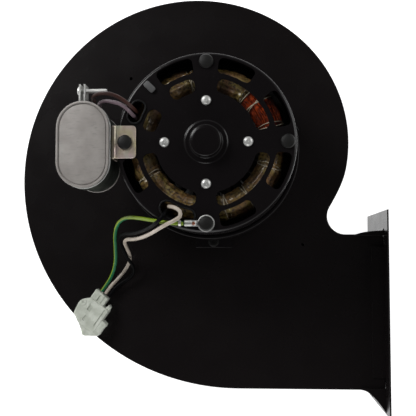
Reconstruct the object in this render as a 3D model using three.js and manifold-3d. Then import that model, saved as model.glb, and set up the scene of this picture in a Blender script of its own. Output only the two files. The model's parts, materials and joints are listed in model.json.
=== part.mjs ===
// Combustion fan: a centrifugal blower with a scroll housing, a forward-curved wheel and a capacitor motor.
// Millimetres. The fan axis is +Z. Inside this file the axis is x = y = 0 and the outer face of the
// housing plate that carries the motor is z = 0. The last lines move the whole fan so that the origin is
// the middle of the underside of its box, measured without the loose leads and their plug.
import * as THREE from "three";
import { mergeVertices } from "three/addons/utils/BufferGeometryUtils.js";
import Module from "manifold-3d";

const wasm = await Module();
wasm.setup();

const GAP = 0.3; // between pieces that touch
const PAST = 5; // how far a cutting tool runs past the faces it cuts
const SHEET = 1.2; // housing steel
const FULL_TURN = 2 * Math.PI;

// Scroll: a logarithmic spiral, radius = SPIRAL_START * exp(SPIRAL_GROWTH * angle), angle from +X.
const SPIRAL_CENTRE = { x: -1, y: 1.5 };
const SPIRAL_START = 105.3;
const SPIRAL_GROWTH = 0.1111;
const SPIRAL_FROM = radians(-5);
const SPIRAL_TO = radians(270) + Math.atan(SPIRAL_GROWTH); // where the spiral runs level into the outlet
const SPIRAL_STEPS = 42;
const WIDTH = 67; // over both side plates
const WRAP_INSET = 0.6; // the wrap stands this far inside the rim of the plates
const OUTLET_TOP = -58.8;
const OUTLET_BOTTOM = SPIRAL_CENTRE.y - spiralRadius(SPIRAL_TO) * Math.cos(Math.atan(SPIRAL_GROWTH));
const OUTLET_END = 130.5;
const CUTOFF = { x: 101.8, radius: 14, from: 270, to: 150 };
const CUTOFF_Y = OUTLET_TOP + CUTOFF.radius;
const SHAFT_HOLE = 8;
const SCREW = 1.6; // radius of the sheet-metal screws
const SCREW_HOLE = 2;
const PILOT_HOLE = { radius: 1.3, places: [[-66, 65.5], [69, -66.7]] };

// Outlet flange collar.
const LIP_PLANE = 130.8;
const LIP_THICK = 1.2;
const LIP_WIDTH = 18.2;
const LIP_OVERLAP = 0.5; // how far the legs and webs run into the lip, to make one solid
const LIP_COVER = 4; // how far the lip reaches over the ends of the side plates
const LEG_FROM = 121.2;
const LEG_BEND = 4;
const SIDE_LEG = { top: -68.4, bottom: -168.2 };
// Webs beside the duct that flare out to the lip: each starts at x = from and ends rise out from the duct.
const WEB = {
  inset: 1,
  top: { from: 109.5, turn: 117, turn_rise: 2.8, rise: 3 },
  bottom: { from: 112.5, turn: 120, turn_rise: 0, rise: 18 },
};

// Inlet ring, on the far side plate.
const INLET_OPENING = 80;
const INLET_THROAT = 50;
const INLET_LAND = { inner: 60, outer: 78, height: 3.3 };
const INLET_RIM = 93;
const INLET_SCREWS = { count: 4, circle: 86, start: 45, head: 3.4, height: 2, length: 6.5 };

// Wheel.
const WHEEL_RADIUS = 76;
const WHEEL_INNER = 61;
const WHEEL_TOP = -8.5;
const WHEEL_BOTTOM = -58.5;
const BLADES = 36;
const BLADE = { thick: 0.9, arc: 7.6, half: 62, lag: 0.75 };

// Shaft.
const SHAFT = 4;
const BORE = SHAFT + GAP;
const SHAFT_TOP = 100;
const SHAFT_BOTTOM = -37;
const HUB = { radius: 10, neck: 7, top: -6.5, shoulder: WHEEL_TOP - SHEET - GAP, bottom: -35 };
const SET_SCREW = { radius: 2, z: -26, head: 9.6 };

// Motor.
const FACE = 95; // outer face of the bell
const BELL_SHEET = 1.5;
const BELL_EDGE = 57; // where the bell slips into the inner shell
const BELL_RADIUS = 60.8;
const SHELL_RADIUS = 63.5;
const CASE_SIDES = 36;
const SHELL_FLOOR = 16;
const BOSS = { radius: 10.8, root: 14.8, height: 9, inner: 9.3 };
const THROUGH_BOLT = { circle: 54.2, radius: 2.2, hole: 2.6, head: 4.9, height: 2.3, end: 14 };
const RIVET = { circle: 27.9, radius: 1.7, hole: 2, head: 3.3, height: 1.9 };
const INNER_SLOTS = {
  inner: 34,
  outer: 43.8,
  corner: 4,
  spans: [[12, 79], [-80, -11], [191, 260], [101, 127], [147, 169]],
};
const OUTER_SLOTS = {
  inner: 47,
  outer: 57.6,
  corner: 3.2,
  spans: [[100, 127], [54, 81], [11, 37.5], [-35, -8], [-80, -53.5], [192, 217.5]],
};
const LEAD_SLOT = { inner: 45.8, outer: 56.2, corner: 5.2, span: [233.5, 262] };
const CAPACITOR_SLOT = { inner: 46, outer: 56.2, corner: 5.1, span: [147, 165.5] };
const FLOOR_VENTS = {
  inner: 24,
  outer: 40,
  corner: 8,
  spans: [[15, 45], [75, 105], [135, 165], [195, 225], [255, 285], [315, 345]],
};
const STACK = { outer: 58.7, bore: 30.9, bottom: 42, top: 72, slots: 24 };
const ROTOR = { radius: 30.2, end_inner: 19, end_outer: 29.4, end_height: 5.7 };
const WINDING = { circle: 41.7, half_width: 8.6, half_height: 8.3, sides: 8, top_z: 81.3, bottom_z: 33 };
const START_WINDING = { from: 9, to: 49 };
const FEET = { angles: [30, 150, 270], reach: 69, width: 28, screw_circle: 64.5, web: 58.2, inner: 44 };
const FOOT_BOLT_HOLE = 2.8;
const FOOT_SCREW = { head: 4, height: 2.4, end: -6 };
const COOLING_FAN = { radius: 50, hub: 8, bottom: 3, top: 12.6, disc: 1.4 };
const FAN_BLADE = { count: 10, inner: 16, thick: 1.4 };
const BEARING = { ball: 8.6, half_length: 6, outboard_z: 96.5, inboard_z: 24 };
const THRUST_WASHER = { radius: 7, thick: 1.3, outboard_z: 88.9, inboard_z: 30.3 };
const RETAINER = { thick: 1.2, inner: 8.3, outer: 13.5, outboard_outer: 32 };
const NYLON_TAB = { circle: 53.1, angle: 135.5, long: 4.2, wide: 2.2, corner: 1.2, top: FACE + 2.1 };

// Capacitor. Its long axis is Y and it stands beside the motor.
const CAN = { x: -81.6, y: -1.9, straight: 22.6, bottom: 51, top: 103, body: 16.35 };
const CAN_RIM = { low: 16.7, top: 17.65, height: 2.6, recess: 1.6, recess_depth: 0.8 };
const STRAP = { bottom: 86, top: 97, thick: 1, clear: 0.4, ear_gap: 2.2, ear_shift: -1.7, ear_top: 39.5 };
const STRAP_SCREW = { y: 35.6, z: 92, radius: 1.6, from: -85.7, to: -67.2, head: 3.1, head_height: 1.6 };
const BRACKET = { thick: 1.2, low: -10.7, high: 11.1, end: -46.8, foot: 76 };
const TERMINAL_CAP = { x: [-88, -75], y: [-6, 12], z: [43, CAN.bottom - GAP] };

const TERMINAL = { thick: 0.8, step: 1.6, eye: 5.7, neck: 2 };
const BARREL = { from: -14.2, to: -8.6, half: 2.1 };

// Leads. Each route is the lead's centre line from the motor or the capacitor to its other end.
const LEAD_RADIUS = 1.4;
const EARTH_ROUTE = [
  [-14.6, -54.3, 99], [-20, -54.2, 99], [-25.4, -53.8, 98.4], [-31, -52.9, 95.8], [-38, -51.5, 89.6],
  [-46.4, -49.9, 80], [-55.6, -48.8, 68.6], [-63, -50.1, 57], [-68.4, -54, 45], [-72, -60.6, 32.4],
  [-73.8, -69.6, 20.4], [-75.2, -79, 12], [-77.4, -86.6, 7.6], [-80.2, -92.8, 6.2], [-83.2, -97.7, 6],
  [-86.69, -102.68, 6],
];
const WHITE_ROUTE = [
  [-25.1, -42.9, 88], [-24.9, -42.9, 93], [-23.2, -43.2, 98.4], [-19.8, -44.2, 101.6],
  [-16.6, -46.6, 102.6], [-16.6, -50, 102.8], [-20.4, -52.6, 102.8], [-25.6, -55, 101.4],
  [-31.4, -57.8, 96.4], [-38, -60.6, 86.4], [-46, -62.9, 74], [-53.6, -63.8, 62.4], [-59.4, -63.7, 52.6],
  [-63, -65.4, 42], [-63.6, -69.2, 30], [-63.6, -73.2, 19], [-64.2, -77.4, 9.6], [-66.6, -82.4, 4.4],
  [-70.2, -87.8, 3.6], [-74.6, -93.2, 4.8], [-79.6, -98.7, 6], [-83.83, -104.69, 6],
];
const BLACK_ROUTE = [
  [-26.6, -45.9, 88], [-26.6, -45.9, 93], [-26.4, -46.2, 97.8], [-27, -48.2, 101.2], [-29.4, -51.4, 102],
  [-33, -54.2, 98.6], [-37, -56.2, 92], [-42.6, -58, 82.4], [-49.4, -59.4, 70.6], [-56.2, -59.9, 59.6],
  [-62, -60, 50], [-66.4, -61.8, 40], [-68, -65.8, 30.4], [-67.4, -71, 22.6], [-65, -77, 17.2],
  [-61.8, -83, 12.2], [-61.8, -88.4, 8.4], [-66, -93, 6.4], [-71.4, -96.4, 6], [-76.4, -100.6, 6],
  [-80.96, -106.7, 6],
];
const BROWN_ROUTE = [
  [-84, 12.3, 47], [-84, 18, 46.6], [-83.8, 24.4, 46.8], [-83, 28.4, 51.4], [-82, 28.8, 60],
  [-80.6, 28.9, 70], [-78.8, 29.6, 79], [-77.2, 29.9, 87], [-76.4, 30.2, 94], [-73.8, 31.2, 99.6],
  [-69, 31.9, 102.2], [-63.6, 31.4, 103], [-58, 29.4, 102.8], [-53, 26.2, 102.4], [-49.6, 23.4, 100.4],
  [-47.6, 21.6, 96.2], [-47.2, 21.2, 91], [-47.1, 21.1, 88],
];
const MAUVE_ROUTE = [
  [-80, 12.3, 47], [-80, 18, 46.6], [-79.8, 24.4, 46.8], [-78.8, 28.4, 51.2], [-77.8, 28.6, 60],
  [-76.4, 28, 70], [-74.6, 27.6, 80], [-72.9, 27.4, 89], [-70.7, 27, 95.4], [-66.6, 27.4, 98.6],
  [-62.4, 26.6, 99.8], [-57.4, 25.2, 100.2], [-53, 22.4, 100.4], [-50.4, 19.8, 99], [-48.9, 18.2, 95.4],
  [-48.5, 17.8, 91], [-48.4, 17.7, 88],
];

// The plug, seen from above in its own axes: the leads enter its stem at x = 0 and its nose points along +X.
const PLUG = { x: -90.06, y: -100.69, turn: 235, z: GAP };
const PLUG_STEM = { outline: [[0, 0], [14, 0], [14, 11.9], [1.2, 11.9]], z: [1.2, 11] };
const PLUG_BODY = {
  outline: [
    [8, 0.8], [10.6, -2.3], [12.7, -4.5], [15.9, -5.3], [25.4, -3.8], [26.4, -1.3], [29, 3], [29, 17.7],
    [8.2, 17.7], [8.2, 13.8],
  ],
  z: [0, 12],
};
const PLUG_LATCH = { outline: [[4.4, 15.3], [9, 13.8], [9, 17.6], [5.6, 17.4]], z: [3, 9] };
const PLUG_NOSE = {
  outline: [
    [17, 18.6], [18, 22.3], [20.6, 22.4], [21.4, 21.9], [28.8, 21.9], [34.6, 13.6], [35.2, 11.2],
    [32.8, 8.8], [26, -1],
  ],
  z: [0.6, 11.4],
};
const PLUG_MOUTH = { outline: [[28, 18], [33, 20.6], [37, 12.4], [32.4, 10.2]], z: [2.4, 9.6] };

function radians(degrees) {
  return (degrees * Math.PI) / 180;
}

function spiralRadius(angle) {
  return SPIRAL_START * Math.exp(SPIRAL_GROWTH * angle);
}

function onCircle(radius, degrees) {
  return [radius * Math.cos(radians(degrees)), radius * Math.sin(radians(degrees))];
}

// ---- Solids ----

function toManifold(geometry) {
  const bare = geometry.index ? geometry.toNonIndexed() : geometry.clone();
  bare.deleteAttribute("normal");
  bare.deleteAttribute("uv");
  const merged = mergeVertices(bare, 1e-4);
  return new wasm.Manifold(
    new wasm.Mesh({
      numProp: 3,
      vertProperties: merged.attributes.position.array,
      triVerts: new Uint32Array(merged.index.array),
    }),
  );
}

function toGeometry(manifold) {
  const mesh = manifold.getMesh();
  const geometry = new THREE.BufferGeometry();
  geometry.setAttribute("position", new THREE.BufferAttribute(mesh.vertProperties, 3));
  geometry.setIndex(new THREE.BufferAttribute(mesh.triVerts, 1));
  return geometry;
}

function join(first, ...others) {
  return toGeometry(others.reduce((sum, piece) => sum.add(toManifold(piece)), toManifold(first)));
}

function cut(body, ...tools) {
  return toGeometry(tools.reduce((rest, tool) => rest.subtract(toManifold(tool)), toManifold(body)));
}

function shapeOf(points) {
  return new THREE.Shape(points.map((point) => new THREE.Vector2(...point)));
}

function slab(shape, low, high, curveSegments = 6) {
  const options = { depth: high - low, bevelEnabled: false, curveSegments };
  return new THREE.ExtrudeGeometry(shape, options).translate(0, 0, low);
}

// A shape in the X-Z plane, drawn as (x, z), pushed along Y from low to high.
function slabAlongY(shape, low, high) {
  return slab(shape, -high, -low).rotateX(Math.PI / 2);
}

function box(x, y, z) {
  const geometry = new THREE.BoxGeometry(x[1] - x[0], y[1] - y[0], z[1] - z[0]);
  return geometry.translate((x[0] + x[1]) / 2, (y[0] + y[1]) / 2, (z[0] + z[1]) / 2);
}

// A round bar along Z.
function bar(radius, low, high, sides, x = 0, y = 0) {
  const geometry = new THREE.CylinderGeometry(radius, radius, high - low, sides);
  return geometry.rotateX(Math.PI / 2).translate(x, y, (low + high) / 2);
}

// A profile of (radius, z) turned about Z. It may run either way round.
function turned(profile, sides) {
  const area = profile.reduce((sum, [r, z], i) => {
    const [nextR, nextZ] = profile[(i + 1) % profile.length];
    return sum + r * nextZ - nextR * z;
  }, 0);
  const ordered = area > 0 ? profile : [...profile].reverse();
  const points = ordered.map(([r, z]) => new THREE.Vector2(r, z));
  const touchesAxis = points[0].x === 0 && points.at(-1).x === 0;
  if (!touchesAxis) points.push(points[0].clone());
  return new THREE.LatheGeometry(points, sides).rotateX(Math.PI / 2);
}

function tube(route, radius, stepLength) {
  const curve = new THREE.CatmullRomCurve3(route.map((point) => new THREE.Vector3(...point)));
  const section = new THREE.Shape().absarc(0, 0, radius, 0, FULL_TURN, false);
  return new THREE.ExtrudeGeometry(section, {
    steps: Math.round(curve.getLength() / stepLength),
    extrudePath: curve,
    curveSegments: 4,
    bevelEnabled: false,
  });
}

// A slot along a circle, with rounded corners. The four corners are walked from the outer one at the end.
function arcSlot(inner, outer, corner, from, to) {
  const start = radians(from);
  const end = radians(to);
  const far = outer - corner;
  const near = inner + corner;
  const farIn = Math.asin(corner / far);
  const nearIn = Math.asin(corner / near);
  const quarter = Math.PI / 2;
  const shape = new THREE.Shape();
  const roundCorner = (radius, angle, turnFrom, turnTo) => {
    shape.absarc(radius * Math.cos(angle), radius * Math.sin(angle), corner, turnFrom, turnTo, false);
  };
  shape.absarc(0, 0, outer, start + farIn, end - farIn, false);
  roundCorner(far, end - farIn, end - farIn, end + quarter);
  roundCorner(near, end - nearIn, end + quarter, end - nearIn + 2 * quarter);
  shape.absarc(0, 0, inner, end - nearIn, start + nearIn, true);
  roundCorner(near, start + nearIn, start + nearIn + 2 * quarter, start + 3 * quarter);
  roundCorner(far, start + farIn, start - quarter, start + farIn);
  return shape;
}

function slotTools({ inner, outer, corner, spans }, low, high) {
  return spans.map(([from, to]) => slab(arcSlot(inner, outer, corner, from, to), low, high, 2));
}

function fourAround(circle) {
  return [0, 90, 180, 270].map((angle) => onCircle(circle, angle));
}

// A pan or truss head on a shank. z is the underside of the head, and the shank goes down to shankEnd.
function headedPin(head, height, shank, z, shankEnd, [x, y]) {
  const profile = [
    [0, z + height],
    [head * 0.75, z + height * 0.75],
    [head, z],
    [shank, z],
    [shank, shankEnd],
    [0, shankEnd],
  ];
  return turned(profile, 10).translate(x, y, 0);
}

// ---- Scroll outline ----

// The line of the wrap: in along the top of the outlet, round the cutoff and the scroll, and out along
// the bottom.
function scrollLine() {
  const points = [new THREE.Vector2(OUTLET_END, OUTLET_TOP)];
  const cutoff = new THREE.EllipseCurve(
    CUTOFF.x, CUTOFF_Y, CUTOFF.radius, CUTOFF.radius, radians(CUTOFF.from), radians(CUTOFF.to), true,
  );
  points.push(...cutoff.getPoints(8));
  const last = points.at(-1);
  const first = spiralPoint(SPIRAL_FROM);
  const leaving = new THREE.Vector2(-Math.sin(radians(CUTOFF.to)), Math.cos(radians(CUTOFF.to)));
  const arriving = spiralPoint(SPIRAL_FROM + 0.01).sub(first).normalize();
  const reach = last.distanceTo(first) / 3;
  const blend = new THREE.CubicBezierCurve(
    last,
    last.clone().addScaledVector(leaving, -reach),
    first.clone().addScaledVector(arriving, -reach),
    first,
  );
  points.push(...blend.getPoints(5).slice(1, -1));
  for (let i = 0; i <= SPIRAL_STEPS; i++) {
    points.push(spiralPoint(SPIRAL_FROM + ((SPIRAL_TO - SPIRAL_FROM) * i) / SPIRAL_STEPS));
  }
  points.push(new THREE.Vector2(OUTLET_END, OUTLET_BOTTOM));
  return points;
}

function spiralPoint(angle) {
  const { x, y } = SPIRAL_CENTRE;
  const radius = spiralRadius(angle);
  return new THREE.Vector2(x + radius * Math.cos(angle), y + radius * Math.sin(angle));
}

// The same line moved to its left by distance.
function offsetLine(line, distance) {
  const normals = line.slice(1).map((point, i) => {
    const along = point.clone().sub(line[i]).normalize();
    return new THREE.Vector2(-along.y, along.x);
  });
  return line.map((point, i) => {
    const before = normals[Math.max(i - 1, 0)];
    const after = normals[Math.min(i, normals.length - 1)];
    const middle = before.clone().add(after).normalize();
    return point.clone().addScaledVector(middle, distance / middle.dot(before));
  });
}

// ---- Housing ----

function sidePlate(low, high, holes) {
  return cut(slab(new THREE.Shape(scrollLine()), low, high), ...holes);
}

function motorPlate() {
  const holes = [bar(SHAFT_HOLE, -PAST, PAST, 24)];
  for (const [x, y] of PILOT_HOLE.places) holes.push(bar(PILOT_HOLE.radius, -PAST, PAST, 10, x, y));
  for (const angle of FEET.angles) {
    holes.push(bar(SCREW_HOLE, -PAST, PAST, 12, ...onCircle(FEET.screw_circle, angle)));
  }
  return sidePlate(-SHEET, 0, holes);
}

function inletPlate() {
  const low = -WIDTH - PAST;
  const high = -WIDTH + PAST;
  const holes = [bar(INLET_OPENING, low, high, 36)];
  for (const place of inletScrewPlaces()) holes.push(bar(SCREW_HOLE, low, high, 12, ...place));
  return sidePlate(-WIDTH, -WIDTH + SHEET, holes);
}

function scrollWrap() {
  const outer = offsetLine(scrollLine(), WRAP_INSET);
  const inner = offsetLine(scrollLine(), WRAP_INSET + SHEET);
  return slab(new THREE.Shape([...outer, ...inner.reverse()]), -WIDTH + SHEET + GAP, -SHEET - GAP);
}

function inletScrewPlaces() {
  return [...Array(INLET_SCREWS.count).keys()].map((i) =>
    onCircle(INLET_SCREWS.circle, INLET_SCREWS.start + (i * 360) / INLET_SCREWS.count),
  );
}

// A pressed ring: rim with screws, a raised land as the gasket seat, and a throat that turns into the wheel.
function inletRing() {
  const rimFace = -WIDTH - GAP;
  const land = rimFace - INLET_LAND.height;
  const ring = turned(
    [
      [INLET_RIM, rimFace],
      [INLET_RIM, rimFace - SHEET],
      [INLET_LAND.outer + 1, rimFace - SHEET],
      [INLET_LAND.outer, land - SHEET],
      [INLET_LAND.inner, land - SHEET],
      [INLET_LAND.inner - 6, land + 0.8],
      [INLET_THROAT, land + 5.5],
      [INLET_THROAT, land + 11],
      [INLET_THROAT + SHEET, land + 11],
      [INLET_THROAT + SHEET, land + 6.2],
      [INLET_LAND.inner - 5.2, land + 2],
      [INLET_LAND.inner + 0.6, land],
      [INLET_LAND.outer - 1, land],
      [INLET_LAND.outer, rimFace],
    ],
    32,
  );
  const holes = inletScrewPlaces().map(([x, y]) => bar(SCREW_HOLE, rimFace - PAST, rimFace + PAST, 8, x, y));
  return cut(ring, ...holes);
}

function inletScrew(place) {
  const seat = -WIDTH - GAP - SHEET - GAP;
  const { head, height, length } = INLET_SCREWS;
  const screw = headedPin(head, height, SCREW, 0, -length, [0, 0]);
  return screw.rotateX(Math.PI).translate(...place, seat);
}

// One L-shaped leg of the collar in the X-Y plane: it lies on the duct and bends out to the lip.
function bentLeg(wall, outward) {
  const profile = new THREE.Shape();
  const inside = wall;
  const outside = wall + outward * LIP_THICK;
  const bendX = LIP_PLANE - LEG_BEND;
  const bendY = outside + outward * LEG_BEND;
  const up = outward > 0;
  profile.moveTo(LEG_FROM, inside);
  profile.lineTo(bendX, inside);
  const outerBend = LEG_BEND + LIP_THICK;
  profile.absarc(bendX, bendY, outerBend, up ? -Math.PI / 2 : Math.PI / 2, 0, !up);
  profile.lineTo(bendX + LEG_BEND, bendY);
  profile.absarc(bendX, bendY, LEG_BEND, 0, up ? -Math.PI / 2 : Math.PI / 2, up);
  profile.lineTo(LEG_FROM, outside);
  return profile;
}

// The outline of a web: level with the duct at its start, then out along a curve to the lip.
function flangeWeb(edge, outward, { from, turn, turn_rise, rise }) {
  const inside = edge - outward * WEB.inset;
  const shape = new THREE.Shape();
  shape.moveTo(from, inside);
  shape.lineTo(from, edge);
  shape.quadraticCurveTo(turn, edge + outward * turn_rise, LIP_PLANE + LIP_OVERLAP, edge + outward * rise);
  shape.lineTo(LIP_PLANE + LIP_OVERLAP, inside);
  return shape;
}

function outletFlange() {
  const topWall = OUTLET_TOP + GAP;
  const bottomWall = OUTLET_BOTTOM - GAP;
  const near = GAP;
  const far = -WIDTH - GAP;
  const bend = LEG_BEND + LIP_THICK - LIP_OVERLAP;
  const lipBottom = OUTLET_BOTTOM - LIP_WIDTH;
  const lipTop = OUTLET_TOP + LIP_WIDTH;
  const lip = [LIP_PLANE, LIP_PLANE + LIP_THICK];
  const outer = box(lip, [lipBottom, lipTop], [-WIDTH - LIP_WIDTH, LIP_WIDTH]);
  const window = box(
    [LIP_PLANE - PAST, LIP_PLANE + PAST],
    [bottomWall - bend, topWall + bend],
    [far + LIP_COVER, near - LIP_COVER],
  );
  const legs = [slab(bentLeg(topWall, 1), far, near, 3), slab(bentLeg(bottomWall, -1), far, near, 3)];
  for (const [low, high] of [[near, near + SHEET], [far - SHEET, far]]) {
    legs.push(
      box([LEG_FROM, LIP_PLANE + LIP_OVERLAP], [SIDE_LEG.bottom, SIDE_LEG.top], [low, high]),
      slab(flangeWeb(OUTLET_TOP, 1, WEB.top), low, high),
      slab(flangeWeb(OUTLET_BOTTOM, -1, WEB.bottom), low, high),
    );
  }
  return join(cut(outer, window), ...legs);
}

// ---- Wheel and rotor ----

// A forward-curved blade, seen along the axis: a strip bent to an arc between the inner and outer rims.
function bladeSection() {
  const { arc, half, lag } = BLADE;
  const side = (radius) => {
    const from = Math.PI / 2 - radians(half);
    return new THREE.EllipseCurve(0, 0, radius, radius, from, Math.PI - from, false).getPoints(2);
  };
  const points = [...side(arc + BLADE.thick / 2), ...side(arc - BLADE.thick / 2).reverse()];
  const middle = (WHEEL_RADIUS + WHEEL_INNER) / 2;
  return points.map((point) => new THREE.Vector2(middle + point.x, point.y - arc * lag));
}

function bladeRing() {
  const backTop = WHEEL_TOP - SHEET - GAP;
  const rim = (low, high) =>
    turned([[WHEEL_INNER, low], [WHEEL_RADIUS, low], [WHEEL_RADIUS, high], [WHEEL_INNER, high]], 36);
  const blade = slab(new THREE.Shape(bladeSection()), WHEEL_BOTTOM + 0.5, backTop - 0.5);
  const blades = [...Array(BLADES).keys()].map((i) => blade.clone().rotateZ((FULL_TURN * i) / BLADES));
  return join(rim(WHEEL_BOTTOM, WHEEL_BOTTOM + SHEET), ...blades, rim(backTop - SHEET, backTop));
}

function wheelBackPlate() {
  return turned(
    [
      [HUB.neck + GAP, WHEEL_TOP - SHEET],
      [WHEEL_RADIUS, WHEEL_TOP - SHEET],
      [WHEEL_RADIUS, WHEEL_TOP],
      [HUB.neck + GAP, WHEEL_TOP],
    ],
    48,
  );
}

function wheelHub() {
  const body = turned(
    [
      [BORE, HUB.bottom],
      [HUB.radius, HUB.bottom],
      [HUB.radius, HUB.shoulder],
      [HUB.neck, HUB.shoulder],
      [HUB.neck, HUB.top],
      [BORE, HUB.top],
    ],
    24,
  );
  const screwHole = bar(SET_SCREW.radius + GAP, 1, HUB.radius + 4, 10).rotateY(Math.PI / 2);
  return cut(body, screwHole.translate(0, 0, SET_SCREW.z));
}

function setScrew() {
  const screw = bar(SET_SCREW.radius, SHAFT + GAP, SET_SCREW.head, 10);
  return screw.rotateY(Math.PI / 2).translate(0, 0, SET_SCREW.z);
}

function motorShaft() {
  const flat = box([SHAFT - 0.7, SHAFT + 2], [-5, 5], [SHAFT_BOTTOM - 1, SHAFT_BOTTOM + 26]);
  return cut(bar(SHAFT, SHAFT_BOTTOM, SHAFT_TOP, 20), flat);
}

function coolingFan() {
  const { radius, hub, bottom, top, disc } = COOLING_FAN;
  const { count, inner, thick } = FAN_BLADE;
  const base = turned([[BORE, bottom], [radius, bottom], [radius, bottom + disc], [BORE, bottom + disc]], 28);
  const sleeve = turned([[BORE, bottom], [hub, bottom], [hub, top], [BORE, top]], 14);
  const vane = box([inner, radius - 1], [-thick / 2, thick / 2], [bottom + disc / 2, top]);
  const vanes = [...Array(count).keys()].map((i) => vane.clone().rotateZ((FULL_TURN * i) / count));
  return join(base, sleeve, ...vanes);
}

function ringBody(inner, outer, low, high, sides) {
  return turned([[inner, low], [outer, low], [outer, high], [inner, high]], sides);
}

function thrustWasher(low) {
  return ringBody(BORE, THRUST_WASHER.radius, low, low + THRUST_WASHER.thick, 16);
}

function bearing(z) {
  const { ball, half_length } = BEARING;
  const flat = Math.sqrt(ball ** 2 - half_length ** 2);
  const shoulder = ball * 0.93;
  const shoulderZ = Math.sqrt(ball ** 2 - shoulder ** 2);
  return turned(
    [
      [BORE, -half_length],
      [flat, -half_length],
      [shoulder, -shoulderZ],
      [ball, 0],
      [shoulder, shoulderZ],
      [flat, half_length],
      [BORE, half_length],
    ],
    20,
  ).translate(0, 0, z);
}

// ---- Motor case ----

function outerBell() {
  const inside = FACE - BELL_SHEET;
  const bell = turned(
    [
      [0, FACE + BOSS.height],
      [7.5, FACE + BOSS.height],
      [10, FACE + BOSS.height - 0.8],
      [BOSS.radius, FACE + BOSS.height - 2.5],
      [BOSS.radius, FACE + 2.2],
      [BOSS.root, FACE],
      [58.6, FACE],
      [60.4, FACE - 1.8],
      [BELL_RADIUS, BELL_EDGE],
      [BELL_RADIUS - 1.3, BELL_EDGE],
      [59, FACE - 2.6],
      [58.2, inside],
      [BOSS.inner, inside],
      [BOSS.inner, FACE + 5.5],
      [7, FACE + BOSS.height - BELL_SHEET],
      [0, FACE + BOSS.height - BELL_SHEET],
    ],
    CASE_SIDES,
  );
  const low = FACE - 3;
  const high = FACE + 3;
  const tools = [...slotTools(INNER_SLOTS, low, high), ...slotTools(OUTER_SLOTS, low, high)];
  for (const { inner, outer, corner, span } of [LEAD_SLOT, CAPACITOR_SLOT]) {
    tools.push(slab(arcSlot(inner, outer, corner, ...span), low, high, 2));
  }
  for (const { circle, hole } of [THROUGH_BOLT, RIVET]) {
    for (const [x, y] of fourAround(circle)) tools.push(bar(hole, low, high, 8, x, y));
  }
  return cut(bell, ...tools);
}

function innerShell() {
  const floor = SHELL_FLOOR + BELL_SHEET;
  const lip = BELL_RADIUS + GAP;
  const seat = BEARING.inboard_z + 3;
  const shell = turned(
    [
      [6, SHELL_FLOOR],
      [SHELL_RADIUS - 3, SHELL_FLOOR],
      [SHELL_RADIUS, SHELL_FLOOR + 3],
      [SHELL_RADIUS, BELL_EDGE],
      [lip, BELL_EDGE],
      [lip, BELL_EDGE - 1.2],
      [SHELL_RADIUS - 1.2, BELL_EDGE - 3],
      [SHELL_RADIUS - 1.2, SHELL_FLOOR + 3.6],
      [SHELL_RADIUS - 4, floor],
      [BOSS.radius, floor],
      [BOSS.radius, seat],
      [BOSS.inner, seat],
      [BOSS.inner, floor],
      [6, floor],
    ],
    CASE_SIDES,
  );
  const tools = slotTools(FLOOR_VENTS, SHELL_FLOOR - PAST, floor + PAST);
  for (const [x, y] of fourAround(THROUGH_BOLT.circle)) {
    tools.push(bar(THROUGH_BOLT.hole, SHELL_FLOOR - PAST, floor + PAST, 8, x, y));
  }
  return cut(shell, ...tools);
}

// One pressing: a flange under the shell, a web and a pad on the housing plate.
function motorFoot(angle) {
  const { reach, width, screw_circle, web, inner } = FEET;
  const top = SHELL_FLOOR - GAP;
  const bottom = GAP;
  const section = shapeOf([
    [inner, top - BELL_SHEET],
    [web - BELL_SHEET, top - BELL_SHEET],
    [web - BELL_SHEET, bottom],
    [reach, bottom],
    [reach, bottom + BELL_SHEET],
    [web, bottom + BELL_SHEET],
    [web, top],
    [inner, top],
  ]);
  const pressing = slabAlongY(section, -width / 2, width / 2);
  const holes = [
    bar(FOOT_BOLT_HOLE, top - PAST, top + PAST, 12, THROUGH_BOLT.circle, 0),
    bar(SCREW_HOLE, -PAST, PAST, 12, screw_circle, 0),
  ];
  return cut(pressing, ...holes).rotateZ(radians(angle));
}

function footScrew(angle) {
  const seat = GAP + BELL_SHEET + GAP;
  const { head, height, end } = FOOT_SCREW;
  return headedPin(head, height, SCREW, seat, end, onCircle(FEET.screw_circle, angle));
}

// The bolt on +X and the one on +Y sit on the bell. The one on -X clamps the capacitor bracket,
// and the one on -Y clamps the earth terminal.
function throughBolt(place, packing) {
  const { head, height, radius, end } = THROUGH_BOLT;
  return headedPin(head, height, radius, FACE + GAP + packing, end, place);
}

function retainerRivet([x, y]) {
  const { head, height, radius } = RIVET;
  const tail = FACE - 4.9;
  const top = FACE + GAP;
  return turned(
    [
      [0, top + height],
      [head * 0.6, top + height * 0.85],
      [head, top],
      [radius, top],
      [radius, tail + 1.3],
      [head * 0.85, tail + 1.3],
      [head * 0.85, tail],
      [0, tail],
    ],
    10,
  ).translate(x, y, 0);
}

function outboardRetainer() {
  const top = FACE - BELL_SHEET - GAP;
  const ring = turned(
    [
      [9.9, top],
      [RETAINER.outboard_outer, top],
      [RETAINER.outboard_outer, top - RETAINER.thick],
      [10.4, top - RETAINER.thick],
      [RETAINER.inner, top - 3],
      [RETAINER.inner - 0.8, top - 2.1],
    ],
    20,
  );
  const holes = fourAround(RIVET.circle).map(([x, y]) => bar(RIVET.hole, top - PAST, top + PAST, 8, x, y));
  return cut(ring, ...holes);
}

function inboardRetainer() {
  const seat = BEARING.inboard_z + 3 + GAP;
  return ringBody(RETAINER.inner, RETAINER.outer, seat, seat + RETAINER.thick, 20);
}

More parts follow.
